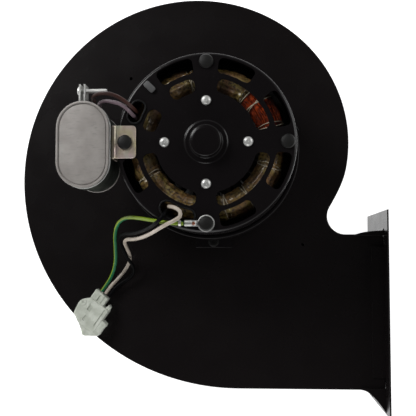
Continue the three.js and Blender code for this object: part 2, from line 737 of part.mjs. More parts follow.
// The liner of a lead opening: a wall through the bell and a rolled lip on its face.
function grommet({ inner, outer, corner, span: [from, to] }) {
  const wall = 1;
  const spread = (distance, middle) => (distance / middle) * (180 / Math.PI);
  const middle = (inner + outer) / 2;
  const liner = (grow, low, high) => {
    const turn = spread(grow, middle);
    return slab(arcSlot(inner - grow, outer + grow, corner + grow, from - turn, to + turn), low, high, 2);
  };
  const body = liner(-GAP, FACE - 3.5, FACE + 1.5);
  const lip = liner(1.1, FACE + GAP, FACE + 1.5);
  return cut(join(body, lip), liner(-GAP - wall, FACE - 6, FACE + 6));
}

function nylonTab() {
  const { circle, angle, long, wide, corner, top } = NYLON_TAB;
  const shape = new THREE.Shape();
  const corners = [[long - corner, corner - wide], [long - corner, wide - corner]];
  corners.push([corner - long, wide - corner], [corner - long, corner - wide]);
  corners.forEach(([x, y], i) => {
    shape.absarc(x, y, corner, ((i - 1) * Math.PI) / 2, (i * Math.PI) / 2, false);
  });
  return slab(shape, FACE + GAP, top, 2).rotateZ(radians(angle)).translate(...onCircle(circle, angle), 0);
}

// ---- Stator and rotor ----

function statorCore() {
  const { outer, bore, bottom, top, slots } = STACK;
  const shape = new THREE.Shape().absarc(0, 0, outer, 0, FULL_TURN, false);
  const hole = [];
  const pitch = FULL_TURN / slots;
  const sides = [[bore, 1.1], [47, 3.4]];
  for (let i = 0; i < slots; i++) {
    const middle = pitch * i;
    for (const [radius, half] of sides) hole.push([radius, middle - half / radius]);
    for (const [radius, half] of [...sides].reverse()) hole.push([radius, middle + half / radius]);
  }
  shape.holes.push(new THREE.Path(hole.map(([r, a]) => new THREE.Vector2(r * Math.cos(a), r * Math.sin(a)))));
  const core = slab(shape, bottom, top, 20);
  const boltHoles = fourAround(THROUGH_BOLT.circle).map(([x, y]) => bar(THROUGH_BOLT.hole, 0, FACE, 12, x, y));
  return cut(core, ...boltHoles);
}

function windingRing(z) {
  const { circle, half_width, half_height } = WINDING;
  const profile = [...Array(WINDING.sides).keys()].map((i) => {
    const angle = (FULL_TURN * (i + 0.5)) / WINDING.sides;
    return [circle + half_width * Math.cos(angle), half_height * Math.sin(angle)];
  });
  return turned(profile, 28).translate(0, 0, z);
}

// A wedge from the axis out, between two angles in degrees.
function wedge(from, to, low, high) {
  const reach = 2 * STACK.outer;
  const middle = (from + to) / 2;
  const corners = [from, middle, to].map((angle) => onCircle(reach, angle));
  return slab(shapeOf([[0, 0], ...corners]), low, high);
}

function mainWinding() {
  const tool = wedge(START_WINDING.from - 1, START_WINDING.to + 1, STACK.top, FACE);
  return cut(windingRing(WINDING.top_z), tool);
}

function startWinding() {
  const tool = wedge(START_WINDING.from, START_WINDING.to, STACK.top, FACE);
  return toGeometry(toManifold(windingRing(WINDING.top_z)).intersect(toManifold(tool)));
}

// ---- Capacitor ----

// Upright outline with round ends, centred on the can.
function canOutline(radius) {
  const shape = new THREE.Shape();
  const half = CAN.straight / 2;
  shape.absarc(CAN.x, CAN.y + half, radius, 0, Math.PI, false);
  shape.absarc(CAN.x, CAN.y - half, radius, Math.PI, FULL_TURN, false);
  return shape;
}

function capacitorCan() {
  const { bottom, top, body: radius } = CAN;
  const { low, top: high, height, recess, recess_depth } = CAN_RIM;
  const lid = top - recess_depth;
  const body = slab(canOutline(radius), bottom + 0.5, lid, 7);
  const lowRim = slab(canOutline(low), bottom, bottom + height, 7);
  const topRim = slab(canOutline(high), top - height, top, 7);
  const dish = slab(canOutline(high - recess), lid, top + PAST, 7);
  return cut(join(body, lowRim, topRim), dish);
}

function strapInner() {
  return CAN.body + STRAP.clear;
}

// The band round the can, with two ears that stand up side by side on +Y.
function capacitorStrap() {
  const { bottom, top, thick, ear_gap, ear_shift, ear_top } = STRAP;
  const radius = strapInner() + thick / 2;
  const upper = CAN.y + CAN.straight / 2;
  const lower = CAN.y - CAN.straight / 2;
  const earLeft = ear_shift - (ear_gap + thick) / 2;
  const earRight = ear_shift + (ear_gap + thick) / 2;
  const arc = (y, from, to) =>
    new THREE.EllipseCurve(CAN.x, y, radius, radius, from, to, false).getPoints(10);
  const line = [
    new THREE.Vector2(CAN.x + earLeft, ear_top),
    ...arc(upper, Math.acos(earLeft / radius), Math.PI),
    ...arc(lower, Math.PI, FULL_TURN),
    ...arc(upper, 0, Math.acos(earRight / radius)),
    new THREE.Vector2(CAN.x + earRight, ear_top),
  ];
  const outline = [...offsetLine(line, thick / 2), ...offsetLine(line, -thick / 2).reverse()];
  const band = slab(new THREE.Shape(outline), bottom, top);
  const hole = bar(STRAP_SCREW.radius + GAP, -20, 20, 10).rotateY(Math.PI / 2);
  return cut(band, hole.translate(CAN.x, STRAP_SCREW.y, STRAP_SCREW.z));
}

function strapScrew() {
  const { y, z, radius, from, to, head, head_height } = STRAP_SCREW;
  const end = from - to;
  const screw = turned(
    [[0, head_height], [head, head_height * 0.6], [head, 0], [radius, 0], [radius, end], [0, end]],
    12,
  );
  return screw.rotateY(-Math.PI / 2).translate(from, y, z);
}

// A flat tab under the head of the motor bolt, and a leg down beside the strap.
function capacitorBracket() {
  const { thick, low, high, end, foot } = BRACKET;
  const strapSide = CAN.x + strapInner() + STRAP.thick;
  const legInner = strapSide + GAP;
  const under = FACE + GAP;
  const section = shapeOf([
    [legInner, foot],
    [legInner + thick, foot],
    [legInner + thick, under],
    [end, under],
    [end, under + thick],
    [legInner, under + thick],
  ]);
  const bracket = slabAlongY(section, low, high);
  return cut(bracket, bar(THROUGH_BOLT.hole, FACE - PAST, FACE + PAST, 12, -THROUGH_BOLT.circle, 0));
}

// ---- Leads ----

// An eye under the bolt head, and a neck that steps up over the lip of the lead opening to the barrel.
function ringTerminal() {
  const bottom = FACE + GAP;
  const { thick, step, neck } = TERMINAL;
  const boltY = -THROUGH_BOLT.circle;
  const eye = ringBody(THROUGH_BOLT.hole, TERMINAL.eye, bottom, bottom + thick, 20).translate(0, boltY, 0);
  const side = shapeOf([
    [-5, bottom],
    [-5, bottom + thick],
    [-5.6, bottom + thick],
    [-7.4, bottom + thick + step],
    [-9, bottom + thick + step],
    [-9, bottom + step],
    [-7.1, bottom + step],
    [-5.4, bottom],
  ]);
  const strip = slabAlongY(side, boltY - neck, boltY + neck);
  const barrel = box(
    [BARREL.from, BARREL.to],
    [boltY - BARREL.half, boltY + BARREL.half],
    [bottom + step, bottom + step + 2 * BARREL.half],
  );
  return join(eye, strip, barrel);
}

function plugHousing() {
  const layer = ({ outline, z: [low, high] }) => slab(shapeOf(outline), low, high);
  const plug = cut(join(...[PLUG_STEM, PLUG_BODY, PLUG_LATCH, PLUG_NOSE].map(layer)), layer(PLUG_MOUTH));
  return plug.rotateZ(radians(PLUG.turn)).translate(PLUG.x, PLUG.y, PLUG.z);
}

// ---- Materials and assembly ----

function finish(color, roughness, metalness) {
  return new THREE.MeshStandardMaterial({ color, roughness, metalness });
}

const finishes = {
  housing: finish(0x17181a, 0.38, 0.3),
  motor: finish(0x1c1d1f, 0.3, 0.3),
  blackBolt: finish(0x2b2d30, 0.45, 0.6),
  zinc: finish(0xc4c7c9, 0.32, 0.9),
  yellowZinc: finish(0xc9c1a6, 0.36, 0.8),
  can: finish(0xb9bab9, 0.5, 0.6),
  wheel: finish(0x9aa0a4, 0.4, 0.85),
  steel: finish(0x8d9196, 0.3, 0.95),
  lamination: finish(0x4c4e50, 0.55, 0.8),
  castAluminium: finish(0xb4b6b8, 0.45, 0.85),
  bronze: finish(0xa8783f, 0.45, 0.8),
  tape: finish(0xa68f63, 0.7, 0),
  enamel: finish(0xa8491c, 0.35, 0.2),
  fibre: finish(0x8b6a3c, 0.8, 0),
  darkPlastic: finish(0x1a1a1b, 0.5, 0),
  greyNylon: finish(0xa8abad, 0.5, 0),
  milkyNylon: finish(0xdfe3df, 0.35, 0),
  earthLead: finish(0x4f9e4c, 0.4, 0),
  whiteLead: finish(0xd8d2c8, 0.4, 0),
  blackLead: finish(0x2c2c33, 0.4, 0),
  brownLead: finish(0x6e4a40, 0.4, 0),
  mauveLead: finish(0xa48fa0, 0.4, 0),
};

const fan = new THREE.Group();

function add(name, geometry, material) {
  const mesh = new THREE.Mesh(geometry, material);
  mesh.name = name;
  fan.add(mesh);
  return mesh;
}

add("housing_motor_plate", motorPlate(), finishes.housing);
add("housing_inlet_plate", inletPlate(), finishes.housing);
add("scroll_wrap", scrollWrap(), finishes.housing);
add("outlet_flange", outletFlange(), finishes.housing);
add("inlet_ring", inletRing(), finishes.housing);
inletScrewPlaces().forEach((place, i) => add(`inlet_ring_screw_${i + 1}`, inletScrew(place), finishes.zinc));

add("motor_outer_bell", outerBell(), finishes.motor);
add("motor_inner_shell", innerShell(), finishes.motor);
FEET.angles.forEach((angle, i) => {
  add(`motor_foot_${i + 1}`, motorFoot(angle), finishes.motor);
  add(`foot_screw_${i + 1}`, footScrew(angle), finishes.blackBolt);
});
const boltPacking = [0, 0, BRACKET.thick + GAP, TERMINAL.thick + GAP];
fourAround(THROUGH_BOLT.circle).forEach((place, i) => {
  add(`through_bolt_${i + 1}`, throughBolt(place, boltPacking[i]), finishes.blackBolt);
});
fourAround(RIVET.circle).forEach((place, i) => {
  add(`retainer_rivet_${i + 1}`, retainerRivet(place), finishes.zinc);
});
add("bearing_retainer_outboard", outboardRetainer(), finishes.zinc);
add("bearing_retainer_inboard", inboardRetainer(), finishes.zinc);
add("bearing_outboard", bearing(BEARING.outboard_z), finishes.bronze);
add("bearing_inboard", bearing(BEARING.inboard_z), finishes.bronze);
add("lead_grommet", grommet(LEAD_SLOT), finishes.darkPlastic);
add("capacitor_lead_grommet", grommet(CAPACITOR_SLOT), finishes.darkPlastic);
add("nylon_tab", nylonTab(), finishes.greyNylon);

add("stator_core", statorCore(), finishes.lamination);
add("main_winding_outboard", mainWinding(), finishes.tape);
add("start_winding_outboard", startWinding(), finishes.enamel);
add("winding_inboard", windingRing(WINDING.bottom_z), finishes.tape);

add("motor_shaft", motorShaft(), finishes.steel);
add("rotor_core", ringBody(BORE, ROTOR.radius, STACK.bottom, STACK.top, 28), finishes.lamination);
const endRing = (low) => ringBody(ROTOR.end_inner, ROTOR.end_outer, low, low + ROTOR.end_height, 28);
add("rotor_end_ring_outboard", endRing(STACK.top + GAP), finishes.castAluminium);
add("rotor_end_ring_inboard", endRing(STACK.bottom - GAP - ROTOR.end_height), finishes.castAluminium);
add("thrust_washer_outboard", thrustWasher(THRUST_WASHER.outboard_z), finishes.fibre);
add("thrust_washer_inboard", thrustWasher(THRUST_WASHER.inboard_z), finishes.fibre);
add("cooling_fan", coolingFan(), finishes.castAluminium);
add("wheel_hub", wheelHub(), finishes.steel);
add("wheel_back_plate", wheelBackPlate(), finishes.wheel);
add("wheel_blade_ring", bladeRing(), finishes.wheel);
add("wheel_set_screw", setScrew(), finishes.blackBolt);

add("capacitor_can", capacitorCan(), finishes.can);
add("capacitor_strap", capacitorStrap(), finishes.zinc);
add("capacitor_bracket", capacitorBracket(), finishes.yellowZinc);
add("strap_screw", strapScrew(), finishes.zinc);
add("capacitor_terminal_cap", box(TERMINAL_CAP.x, TERMINAL_CAP.y, TERMINAL_CAP.z), finishes.darkPlastic);

add("ring_terminal", ringTerminal(), finishes.zinc);
const loose = [
  add("earth_lead", tube(EARTH_ROUTE, LEAD_RADIUS, 8), finishes.earthLead),
  add("white_lead", tube(WHITE_ROUTE, LEAD_RADIUS, 7), finishes.whiteLead),
  add("black_lead", tube(BLACK_ROUTE, LEAD_RADIUS, 7), finishes.blackLead),
  add("brown_capacitor_lead", tube(BROWN_ROUTE, LEAD_RADIUS, 7), finishes.brownLead),
  add("mauve_capacitor_lead", tube(MAUVE_ROUTE, LEAD_RADIUS, 7), finishes.mauveLead),
  add("plug_housing", plugHousing(), finishes.milkyNylon),
];

// The origin goes to the middle of the underside of the fan's own box.
const own = new THREE.Box3();
for (const mesh of fan.children) {
  if (!loose.includes(mesh)) own.expandByObject(mesh);
}
const middle = own.getCenter(new THREE.Vector3());
fan.position.set(-middle.x, -middle.y, -own.min.z);

export default fan;
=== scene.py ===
import json
from math import acos, asin, atan, cos, degrees, exp, pi, radians, sin

import bmesh
import bpy
from mathutils import Matrix, Vector, noise


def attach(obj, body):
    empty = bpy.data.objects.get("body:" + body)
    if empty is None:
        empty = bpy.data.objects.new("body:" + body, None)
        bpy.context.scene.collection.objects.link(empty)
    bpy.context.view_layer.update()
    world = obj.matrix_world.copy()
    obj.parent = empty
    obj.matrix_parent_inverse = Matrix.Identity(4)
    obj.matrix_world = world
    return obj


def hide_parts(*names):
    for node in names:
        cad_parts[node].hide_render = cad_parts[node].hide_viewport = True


# Combustion fan: the look of each piece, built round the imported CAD.
# Shapes are made in fan millimetres, with the fan axis at x = y = 0 and the outer face of the motor-side
# plate at z = 0, then placed in the frame in metres.

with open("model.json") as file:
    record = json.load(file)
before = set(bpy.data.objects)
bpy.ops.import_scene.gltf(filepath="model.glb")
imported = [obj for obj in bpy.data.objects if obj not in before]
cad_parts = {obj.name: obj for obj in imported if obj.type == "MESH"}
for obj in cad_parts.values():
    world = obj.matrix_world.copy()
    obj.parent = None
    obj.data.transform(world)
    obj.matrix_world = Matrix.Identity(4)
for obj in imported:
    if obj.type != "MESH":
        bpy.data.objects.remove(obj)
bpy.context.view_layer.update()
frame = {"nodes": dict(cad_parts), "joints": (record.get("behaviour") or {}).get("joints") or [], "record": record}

MM = 0.001
AXIS = Vector(frame["joints"][0]["pos_m"])
TO_FRAME = Matrix.Translation(AXIS) @ Matrix.Scale(MM, 4)
SLOT_OF = {row["node"]: row["material_slot"] for row in frame["record"]["subparts"]}
FULL_TURN = 2 * pi
WELD = 1e-4  # mm
CREASE = 25  # degrees between faces that stay sharp
ROUND_STEPS = 144  # sides of the large turned pieces
CUTTER_EDGE = 0.01  # the smallest chamfer, on pieces that only cut others

GAP = 0.3  # between pieces that touch
SHEET = 1.2
THREAD_PITCH = 0.8
SCREW_RADIUS = 1.6

# Housing
SPIRAL_CENTRE = Vector((-1, 1.5))
SPIRAL_START = 105.3
SPIRAL_GROWTH = 0.1111
SPIRAL_FROM = radians(-5)
SPIRAL_TO = radians(270) + atan(SPIRAL_GROWTH)
WIDTH = 67
WRAP_INSET = 0.6
OUTLET_TOP = -58.8
OUTLET_BOTTOM = SPIRAL_CENTRE.y - SPIRAL_START * exp(SPIRAL_GROWTH * SPIRAL_TO) * cos(atan(SPIRAL_GROWTH))
OUTLET_END = 130.5
CUTOFF = {"x": 101.8, "y": -44.8, "radius": 14, "from": 270, "to": 150}
SHAFT_HOLE = 8
PILOT_HOLE = 1.3
PILOT_HOLES = [(-66, 65.5), (69, -66.7)]
LIP_PLANE = 130.8
LIP_THICK = 1.2
LIP_WIDTH = 18.2
LIP_COVER = 4
LIP_OVERLAP = 0.5  # how far the webs run into the lip
LEG_FROM = 121.2
LEG_BEND = 4
SIDE_LEG = {"top": -68.4, "bottom": -168.2}
WEB_TOP = {"from": 109.5, "turn": 117, "turn_rise": 2.8, "rise": 3}
WEB_BOTTOM = {"from": 112.5, "turn": 120, "turn_rise": 0, "rise": 18}
INLET_OPENING = 80
INLET_LAND = 3.3
INLET_SCREW_CIRCLE = 86

# Wheel
WHEEL_RADIUS = 76
WHEEL_INNER = 61
WHEEL_TOP = -8.5
WHEEL_BOTTOM = -58.5
BLADES = 36
BLADE = {"thick": 0.9, "arc": 7.6, "half": 62, "lag": 0.75}

# Motor
FACE = 95
CASE_EDGE = 57  # where the bell slips into the shell
BELL_RADIUS = 60.8
SHELL_RADIUS = 63.5
SHELL_FLOOR = 16
CASE_SHEET = 1.5
BOSS_INNER = 9.3
BOLT_CIRCLE = 54.2
BOLT_RADIUS = 2.2
BOLT_HOLE = 2.6
BOLT_END = 14
RIVET_CIRCLE = 27.9
RIVET_RADIUS = 1.7
RIVET_HOLE = 2
TAB = {"circle": 53.1, "angle": 135.5, "long": 4.2, "wide": 2.2, "top": 2.1}
FOOT_ANGLES = [30, 150, 270]
FOOT_SCREW_CIRCLE = 64.5
# Slots in the case: inner radius, outer radius, corner radius, and the angles they run between.
INNER_SLOTS = (34, 43.8, 4, [(12, 79), (-80, -11), (191, 260), (101, 127), (147, 169)])
OUTER_SLOTS = (47, 57.6, 3.2, [(100, 127), (54, 81), (11, 37.5), (-35, -8), (-80, -53.5), (192, 217.5)])
LEAD_SLOT = (45.8, 56.2, 5.2, [(233.5, 262)])
CAPACITOR_SLOT = (46, 56.2, 5.1, [(147, 165.5)])
FLOOR_VENTS = (24, 40, 8, [(15 + 60 * i, 45 + 60 * i) for i in range(6)])
WINDING = {"circle": 43.5, "half_width": 8, "bulge": 2.5, "half_height": 8.1, "top_z": 81.3, "bottom_z": 33}
START_WINDING = (14, 49)
WIRE_RADIUS = 0.46
TIE_RADIUS = 0.33

# Capacitor
CAN = {"x": -81.6, "y": -1.9, "straight": 22.6, "bottom": 51, "top": 103}
CAN |= {"body": 16.35, "low_rim": 16.7, "rim": 17.65}
STRAP = {"bottom": 86, "top": 97, "inner": 16.75, "thick": 1}
STRAP |= {"ear_gap": 2.2, "ear_shift": -1.7, "ear_top": 39.5, "hole": 1.9}
STRAP_SCREW = {"y": 35.6, "z": 92, "from": -85.7, "to": -67.2}
BRACKET = {"leg": -63.55, "foot": 76, "top": 96.5, "end": -46.8, "low": -10.7, "high": 11.1, "bend": 1.6}

# Leads: the same routes as the CAD solids, in fan millimetres.
LEAD = 2.6
LEAD_STEP = 2
EARTH_ROUTE = [
    (-14.6, -54.3, 99), (-20, -54.2, 99), (-25.4, -53.8, 98.4), (-31, -52.9, 95.8), (-38, -51.5, 89.6),
    (-46.4, -49.9, 80), (-55.6, -48.8, 68.6), (-63, -50.1, 57), (-68.4, -54, 45), (-72, -60.6, 32.4),
    (-73.8, -69.6, 20.4), (-75.2, -79, 12), (-77.4, -86.6, 7.6), (-80.2, -92.8, 6.2), (-83.2, -97.7, 6),
    (-86.69, -102.68, 6),
]
WHITE_ROUTE = [
    (-25.1, -42.9, 88), (-24.9, -42.9, 93), (-23.2, -43.2, 98.4), (-19.8, -44.2, 101.6),
    (-16.6, -46.6, 102.6), (-16.6, -50, 102.8), (-20.4, -52.6, 102.8), (-25.6, -55, 101.4),
    (-31.4, -57.8, 96.4), (-38, -60.6, 86.4), (-46, -62.9, 74), (-53.6, -63.8, 62.4), (-59.4, -63.7, 52.6),
    (-63, -65.4, 42), (-63.6, -69.2, 30), (-63.6, -73.2, 19), (-64.2, -77.4, 9.6), (-66.6, -82.4, 4.4),
    (-70.2, -87.8, 3.6), (-74.6, -93.2, 4.8), (-79.6, -98.7, 6), (-83.83, -104.69, 6),
]
BLACK_ROUTE = [
    (-26.6, -45.9, 88), (-26.6, -45.9, 93), (-26.4, -46.2, 97.8), (-27, -48.2, 101.2), (-29.4, -51.4, 102),
    (-33, -54.2, 98.6), (-37, -56.2, 92), (-42.6, -58, 82.4), (-49.4, -59.4, 70.6), (-56.2, -59.9, 59.6),
    (-62, -60, 50), (-66.4, -61.8, 40), (-68, -65.8, 30.4), (-67.4, -71, 22.6), (-65, -77, 17.2),
    (-61.8, -83, 12.2), (-61.8, -88.4, 8.4), (-66, -93, 6.4), (-71.4, -96.4, 6), (-76.4, -100.6, 6),
    (-80.96, -106.7, 6),
]
BROWN_ROUTE = [
    (-84, 12.3, 47), (-84, 18, 46.6), (-83.8, 24.4, 46.8), (-83, 28.4, 51.4), (-82, 28.8, 60),
    (-80.6, 28.9, 70),
    (-78.8, 29.6, 79), (-77.2, 29.9, 87), (-76.4, 30.2, 94), (-73.8, 31.2, 99.6), (-69, 31.9, 102.2),
    (-63.6, 31.4, 103), (-58, 29.4, 102.8), (-53, 26.2, 102.4), (-49.6, 23.4, 100.4), (-47.6, 21.6, 96.2),
    (-47.2, 21.2, 91), (-47.1, 21.1, 88),
]
MAUVE_ROUTE = [
    (-80, 12.3, 47), (-80, 18, 46.6), (-79.8, 24.4, 46.8), (-78.8, 28.4, 51.2), (-77.8, 28.6, 60),
    (-76.4, 28, 70),
    (-74.6, 27.6, 80), (-72.9, 27.4, 89), (-70.7, 27, 95.4), (-66.6, 27.4, 98.6), (-62.4, 26.6, 99.8),
    (-57.4, 25.2, 100.2), (-53, 22.4, 100.4), (-50.4, 19.8, 99), (-48.9, 18.2, 95.4), (-48.5, 17.8, 91),
    (-48.4, 17.7, 88),
]

# The plug, seen from above in its own axes: the leads enter at x = 0 and its nose points along +X.
PLUG = {"x": -90.06, "y": -100.69, "turn": 235, "z": 0.3}
PLUG_STEM = [(0, 0), (14, 0), (14, 11.9), (1.2, 11.9)]
PLUG_BODY = [
    (8, 0.8), (10.6, -2.3), (12.7, -4.5), (15.9, -5.3), (25.4, -3.8), (26.4, -1.3), (29, 3), (29, 17.7),
    (8.2, 17.7), (8.2, 13.8),
]
PLUG_LATCH = [(4.4, 15.3), (9, 13.8), (9, 17.6), (5.6, 17.4)]
PLUG_NOSE = [
    (17, 18.6), (18, 22.3), (20.6, 22.4), (21.4, 21.9), (28.8, 21.9), (34.6, 13.6), (35.2, 11.2), (32.8, 8.8),
    (26, -1),
]
PLUG_MOUTH = [(28, 18), (33, 20.6), (37, 12.4), (32.4, 10.2)]


# ---- Camera, floor and light ----


def placed(name, data):
    """A new object in the scene that holds the data."""
    made = bpy.data.objects.new(name, data)
    bpy.context.collection.objects.link(made)
    return made


def camera():
    place = TO_FRAME @ Vector((32.8, -76.2, 605))
    target = TO_FRAME @ Vector((-4.6, -38, 0))
    back = (place - target).normalized()
    right = Vector((0, 1, 0)).cross(back).normalized()
    up = back.cross(right)
    made = placed("camera", bpy.data.cameras.new("camera"))
    made.matrix_world = Matrix.Translation(place) @ Matrix((right, up, back)).transposed().to_4x4()
    made.data.sensor_width = 36
    made.data.lens = 67.15
    bpy.context.scene.camera = made


def floor():
    half = 12
    mesh = bpy.data.meshes.new("floor")
    corners = [(x, y, 0) for x, y in rectangle(-half, -half, half, half)]
    mesh.from_pydata(corners, [], [(0, 1, 2, 3)])
    paper = Finish("floor_paper", {"Base Color": (0.6, 0.6, 0.6, 1), "Roughness": 0.9})
    paper.shader.inputs["Emission Color"].default_value = (1, 1, 1, 1)
    paper.shader.inputs["Emission Strength"].default_value = 1
    mesh.materials.append(paper.material)
    placed("floor", mesh)


def area_light(name, place, size, power):
    data = bpy.data.lights.new(name, "AREA")
    data.shape = "DISK"
    data.size = size
    data.energy = power
    made = placed(name, data)
    made.location = place
    made.rotation_euler = (Vector((0, 0, 0.1)) - Vector(place)).to_track_quat("-Z", "Y").to_euler()


def studio():
    """A pale surround that is bright at the horizon and dim overhead, with a key light on the upper left."""
    world = bpy.data.worlds.new("studio")
    bpy.context.scene.world = world
    world.use_nodes = True
    tree = world.node_tree
    background = tree.nodes["Background"]
    place = add_node(tree, "ShaderNodeTexCoord", {}).outputs["Generated"]
    height = add_node(tree, "ShaderNodeSeparateXYZ", {0: place}).outputs["Z"]
    dimming = {"Value": height, "From Min": 0.02, "From Max": 0.75, "To Min": 0.85, "To Max": 0.06}
    strength = add_node(tree, "ShaderNodeMapRange", dimming, interpolation_type="SMOOTHSTEP").outputs[0]
    tree.links.new(strength, background.inputs["Strength"])
    background.inputs["Color"].default_value = (1, 1, 1, 1)
    area_light("key", (-0.9, 0.8, 1.1), 0.7, 15)
    area_light("fill", (1.1, 0.5, 0.9), 0.9, 6)
    area_light("rim", (-0.2, -1.3, 0.8), 0.9, 6)
    bpy.context.scene.view_settings.view_transform = "Standard"


# ---- Materials ----


def add_node(tree, kind, inputs, **settings):
    """A node with each input linked to a socket or set to a value."""
    made = tree.nodes.new(kind)
    for key, value in settings.items():
        setattr(made, key, value)
    for key, value in inputs.items():
        if isinstance(value, bpy.types.NodeSocket):
            tree.links.new(value, made.inputs[key])
        else:
            made.inputs[key].default_value = value
    return made


class Finish:
    """A node material in the making, with its Principled shader."""

    def __init__(self, name, sockets):
        self.name = name
        self.material = bpy.data.materials.new(name)
        self.material.use_nodes = True
        self.tree = self.material.node_tree
        self.shader = self.tree.nodes["Principled BSDF"]
        self.place = self.node("ShaderNodeTexCoord", {}).outputs["Object"]
        for socket, value in sockets.items():
            self.shader.inputs[socket].default_value = value

    def node(self, kind, inputs, **settings):
        return add_node(self.tree, kind, inputs, **settings)

    def noise(self, size, detail=2, stretch=(1, 1, 1)):
        """Soft noise with features of about size millimetres, shorter along an axis that is stretched."""
        place = self.node("ShaderNodeMapping", {"Vector": self.place, "Scale": stretch}).outputs[0]
        inputs = {"Vector": place, "Scale": 1 / (size * MM), "Detail": detail}
        return self.node("ShaderNodeTexNoise", inputs).outputs["Fac"]

    def cells(self, size):
        inputs = {"Vector": self.place, "Scale": 1 / (size * MM)}
        color = self.node("ShaderNodeTexVoronoi", inputs).outputs["Color"]
        return self.node("ShaderNodeSeparateColor", {0: color}).outputs[0]

    def bands(self, size, direction):
        inputs = {"Vector": self.place, "Scale": 0.314 / (size * MM), "Distortion": 0, "Detail": 1}
        return self.node("ShaderNodeTexWave", inputs, bands_direction=direction).outputs["Fac"]

    def spread(self, value, low, high, start=0.35, end=0.65):
        inputs = {"Value": value, "From Min": start, "From Max": end, "To Min": low, "To Max": high}
        return self.node("ShaderNodeMapRange", inputs).outputs[0]

    def mixed(self, value, first, second, start=0.35, end=0.65):
        inputs = {0: self.spread(value, 0, 1, start, end), 6: opaque(first), 7: opaque(second)}
        return self.node("ShaderNodeMix", inputs, data_type="RGBA").outputs[2]

    def surface(self, color, roughness, height, depth, strength=1):
        """Gives the shader its color and roughness, and bumps of depth millimetres."""
        inputs = {"Height": height, "Distance": depth * MM, "Strength": strength}
        bumps = self.node("ShaderNodeBump", inputs).outputs[0]
        for socket, value in (("Base Color", color), ("Roughness", roughness), ("Normal", bumps)):
            self.tree.links.new(value, self.shader.inputs[socket])
        return self


def opaque(color):
    """A color with its alpha, or a socket as it is."""
    return color if isinstance(color, bpy.types.NodeSocket) else (*color, 1)


def grey(value):
    return (value, value, value)


def painted(name, dark, light, roughness, peel):
    """Black paint on pressed steel: orange peel, a slow change of gloss and faint dust."""
    made = Finish(name, {"IOR": 1.5, "Specular IOR Level": 0.24})
    tone = made.mixed(made.noise(90), dark, light)
    dusty = made.mixed(made.noise(1.6, 4), tone, [2.2 * c for c in light], 0.66, 0.8)
    return made.surface(dusty, made.spread(made.noise(22, 4), *roughness), made.noise(peel), 0.008, 0.4)


def plated(name, dark, light, metallic, roughness, grain=0.6, stretch=(1, 1, 1)):
    """Plated or bare metal with a soft grain."""
    made = Finish(name, {"Metallic": metallic})
    tone = made.mixed(made.noise(7, 4, stretch), dark, light)
    dull = made.spread(made.noise(3, 4, stretch), *roughness)
    return made.surface(tone, dull, made.noise(grain, 3, stretch), 0.02, 0.5)


def yellow_zinc():
    made = Finish("yellow_zinc", {"Metallic": 0.75})
    hues = made.mixed(made.noise(9, 3), (0.55, 0.49, 0.31), (0.54, 0.43, 0.42))
    hues = made.mixed(made.noise(5, 4, (1, 0.4, 1)), hues, (0.47, 0.5, 0.4), 0.5, 0.75)
    return made.surface(hues, made.spread(made.noise(2, 4), 0.3, 0.46), made.noise(0.8, 3), 0.015, 0.5)


def galvanised():
    made = Finish("wheel_steel", {"Metallic": 0.9})
    spangle = made.cells(4.5)
    tone = made.mixed(spangle, (0.36, 0.38, 0.4), (0.56, 0.58, 0.6), 0.1, 0.9)
    return made.surface(tone, made.spread(spangle, 0.3, 0.48, 0.1, 0.9), made.noise(1.2, 4), 0.02, 0.4)


def laminated():
    """The edges of thin sheets, stacked along the axis."""
    made = Finish("lamination_steel", {"Metallic": 0.3, "Specular IOR Level": 0.3})
    sheets = made.bands(0.5, "Z")
    rust = made.noise(6, 4)
    tone = made.mixed(rust, (0.014, 0.0145, 0.014), (0.03, 0.029, 0.026))
    tone = made.mixed(sheets, grey(0.03), tone, 0.1, 0.5)
    return made.surface(tone, made.spread(rust, 0.45, 0.7), sheets, 0.06)


def can_aluminium():
    """Dull drawn aluminium with faint rolling marks and handling haze."""
    made = Finish("can_aluminium", {"Metallic": 0.15})
    haze = made.mixed(made.noise(11, 4), (0.27, 0.25, 0.235), (0.33, 0.31, 0.292))
    tone = made.mixed(made.noise(1.4, 3, (0.25, 1, 1)), haze, (0.23, 0.22, 0.208), 0.55, 0.8)
    marks = made.noise(0.9, 3, (0.3, 1, 1))
    return made.surface(tone, made.spread(made.noise(5, 4), 0.5, 0.65), marks, 0.012, 0.6)


def bronze():
    made = Finish("bearing_bronze", {"Metallic": 0.9})
    pores = made.noise(0.5)
    tone = made.mixed(pores, (0.2, 0.11, 0.045), (0.48, 0.3, 0.12), 0.3, 0.55)
    return made.surface(tone, made.spread(pores, 0.6, 0.35), pores, 0.03)


def winding_tape():
    """Varnished tape over wire: tan, with pinkish and khaki patches, darker in the laps."""
    made = Finish("winding_tape", {"Coat Weight": 0.45, "Coat Roughness": 0.16})
    patches = made.mixed(made.noise(13, 3), (0.19, 0.115, 0.03), (0.14, 0.064, 0.03))
    khaki = made.mixed(made.noise(7, 4), patches, (0.2, 0.15, 0.04), 0.45, 0.65)
    threads = made.noise(1.6, 4)
    tone = made.mixed(threads, khaki, (0.03, 0.015, 0.007), 0.46, 0.66)
    return made.surface(tone, made.spread(threads, 0.35, 0.6), made.noise(0.9, 4), 0.25)


def winding_enamel():
    """Red-orange enamelled wire."""
    made = Finish("winding_enamel", {"Specular IOR Level": 0.35, "Coat Weight": 0.2, "Coat Roughness": 0.15})
    tone = made.mixed(made.noise(2.6, 3), (0.07, 0.006, 0.002), (0.36, 0.046, 0.006), 0.42, 0.58)
    tone = made.mixed(made.noise(9, 3), tone, (0.07, 0.009, 0.003), 0.5, 0.75)
    return made.surface(tone, made.spread(made.noise(1.5), 0.25, 0.42), made.noise(0.7), 0.02, 0.5)


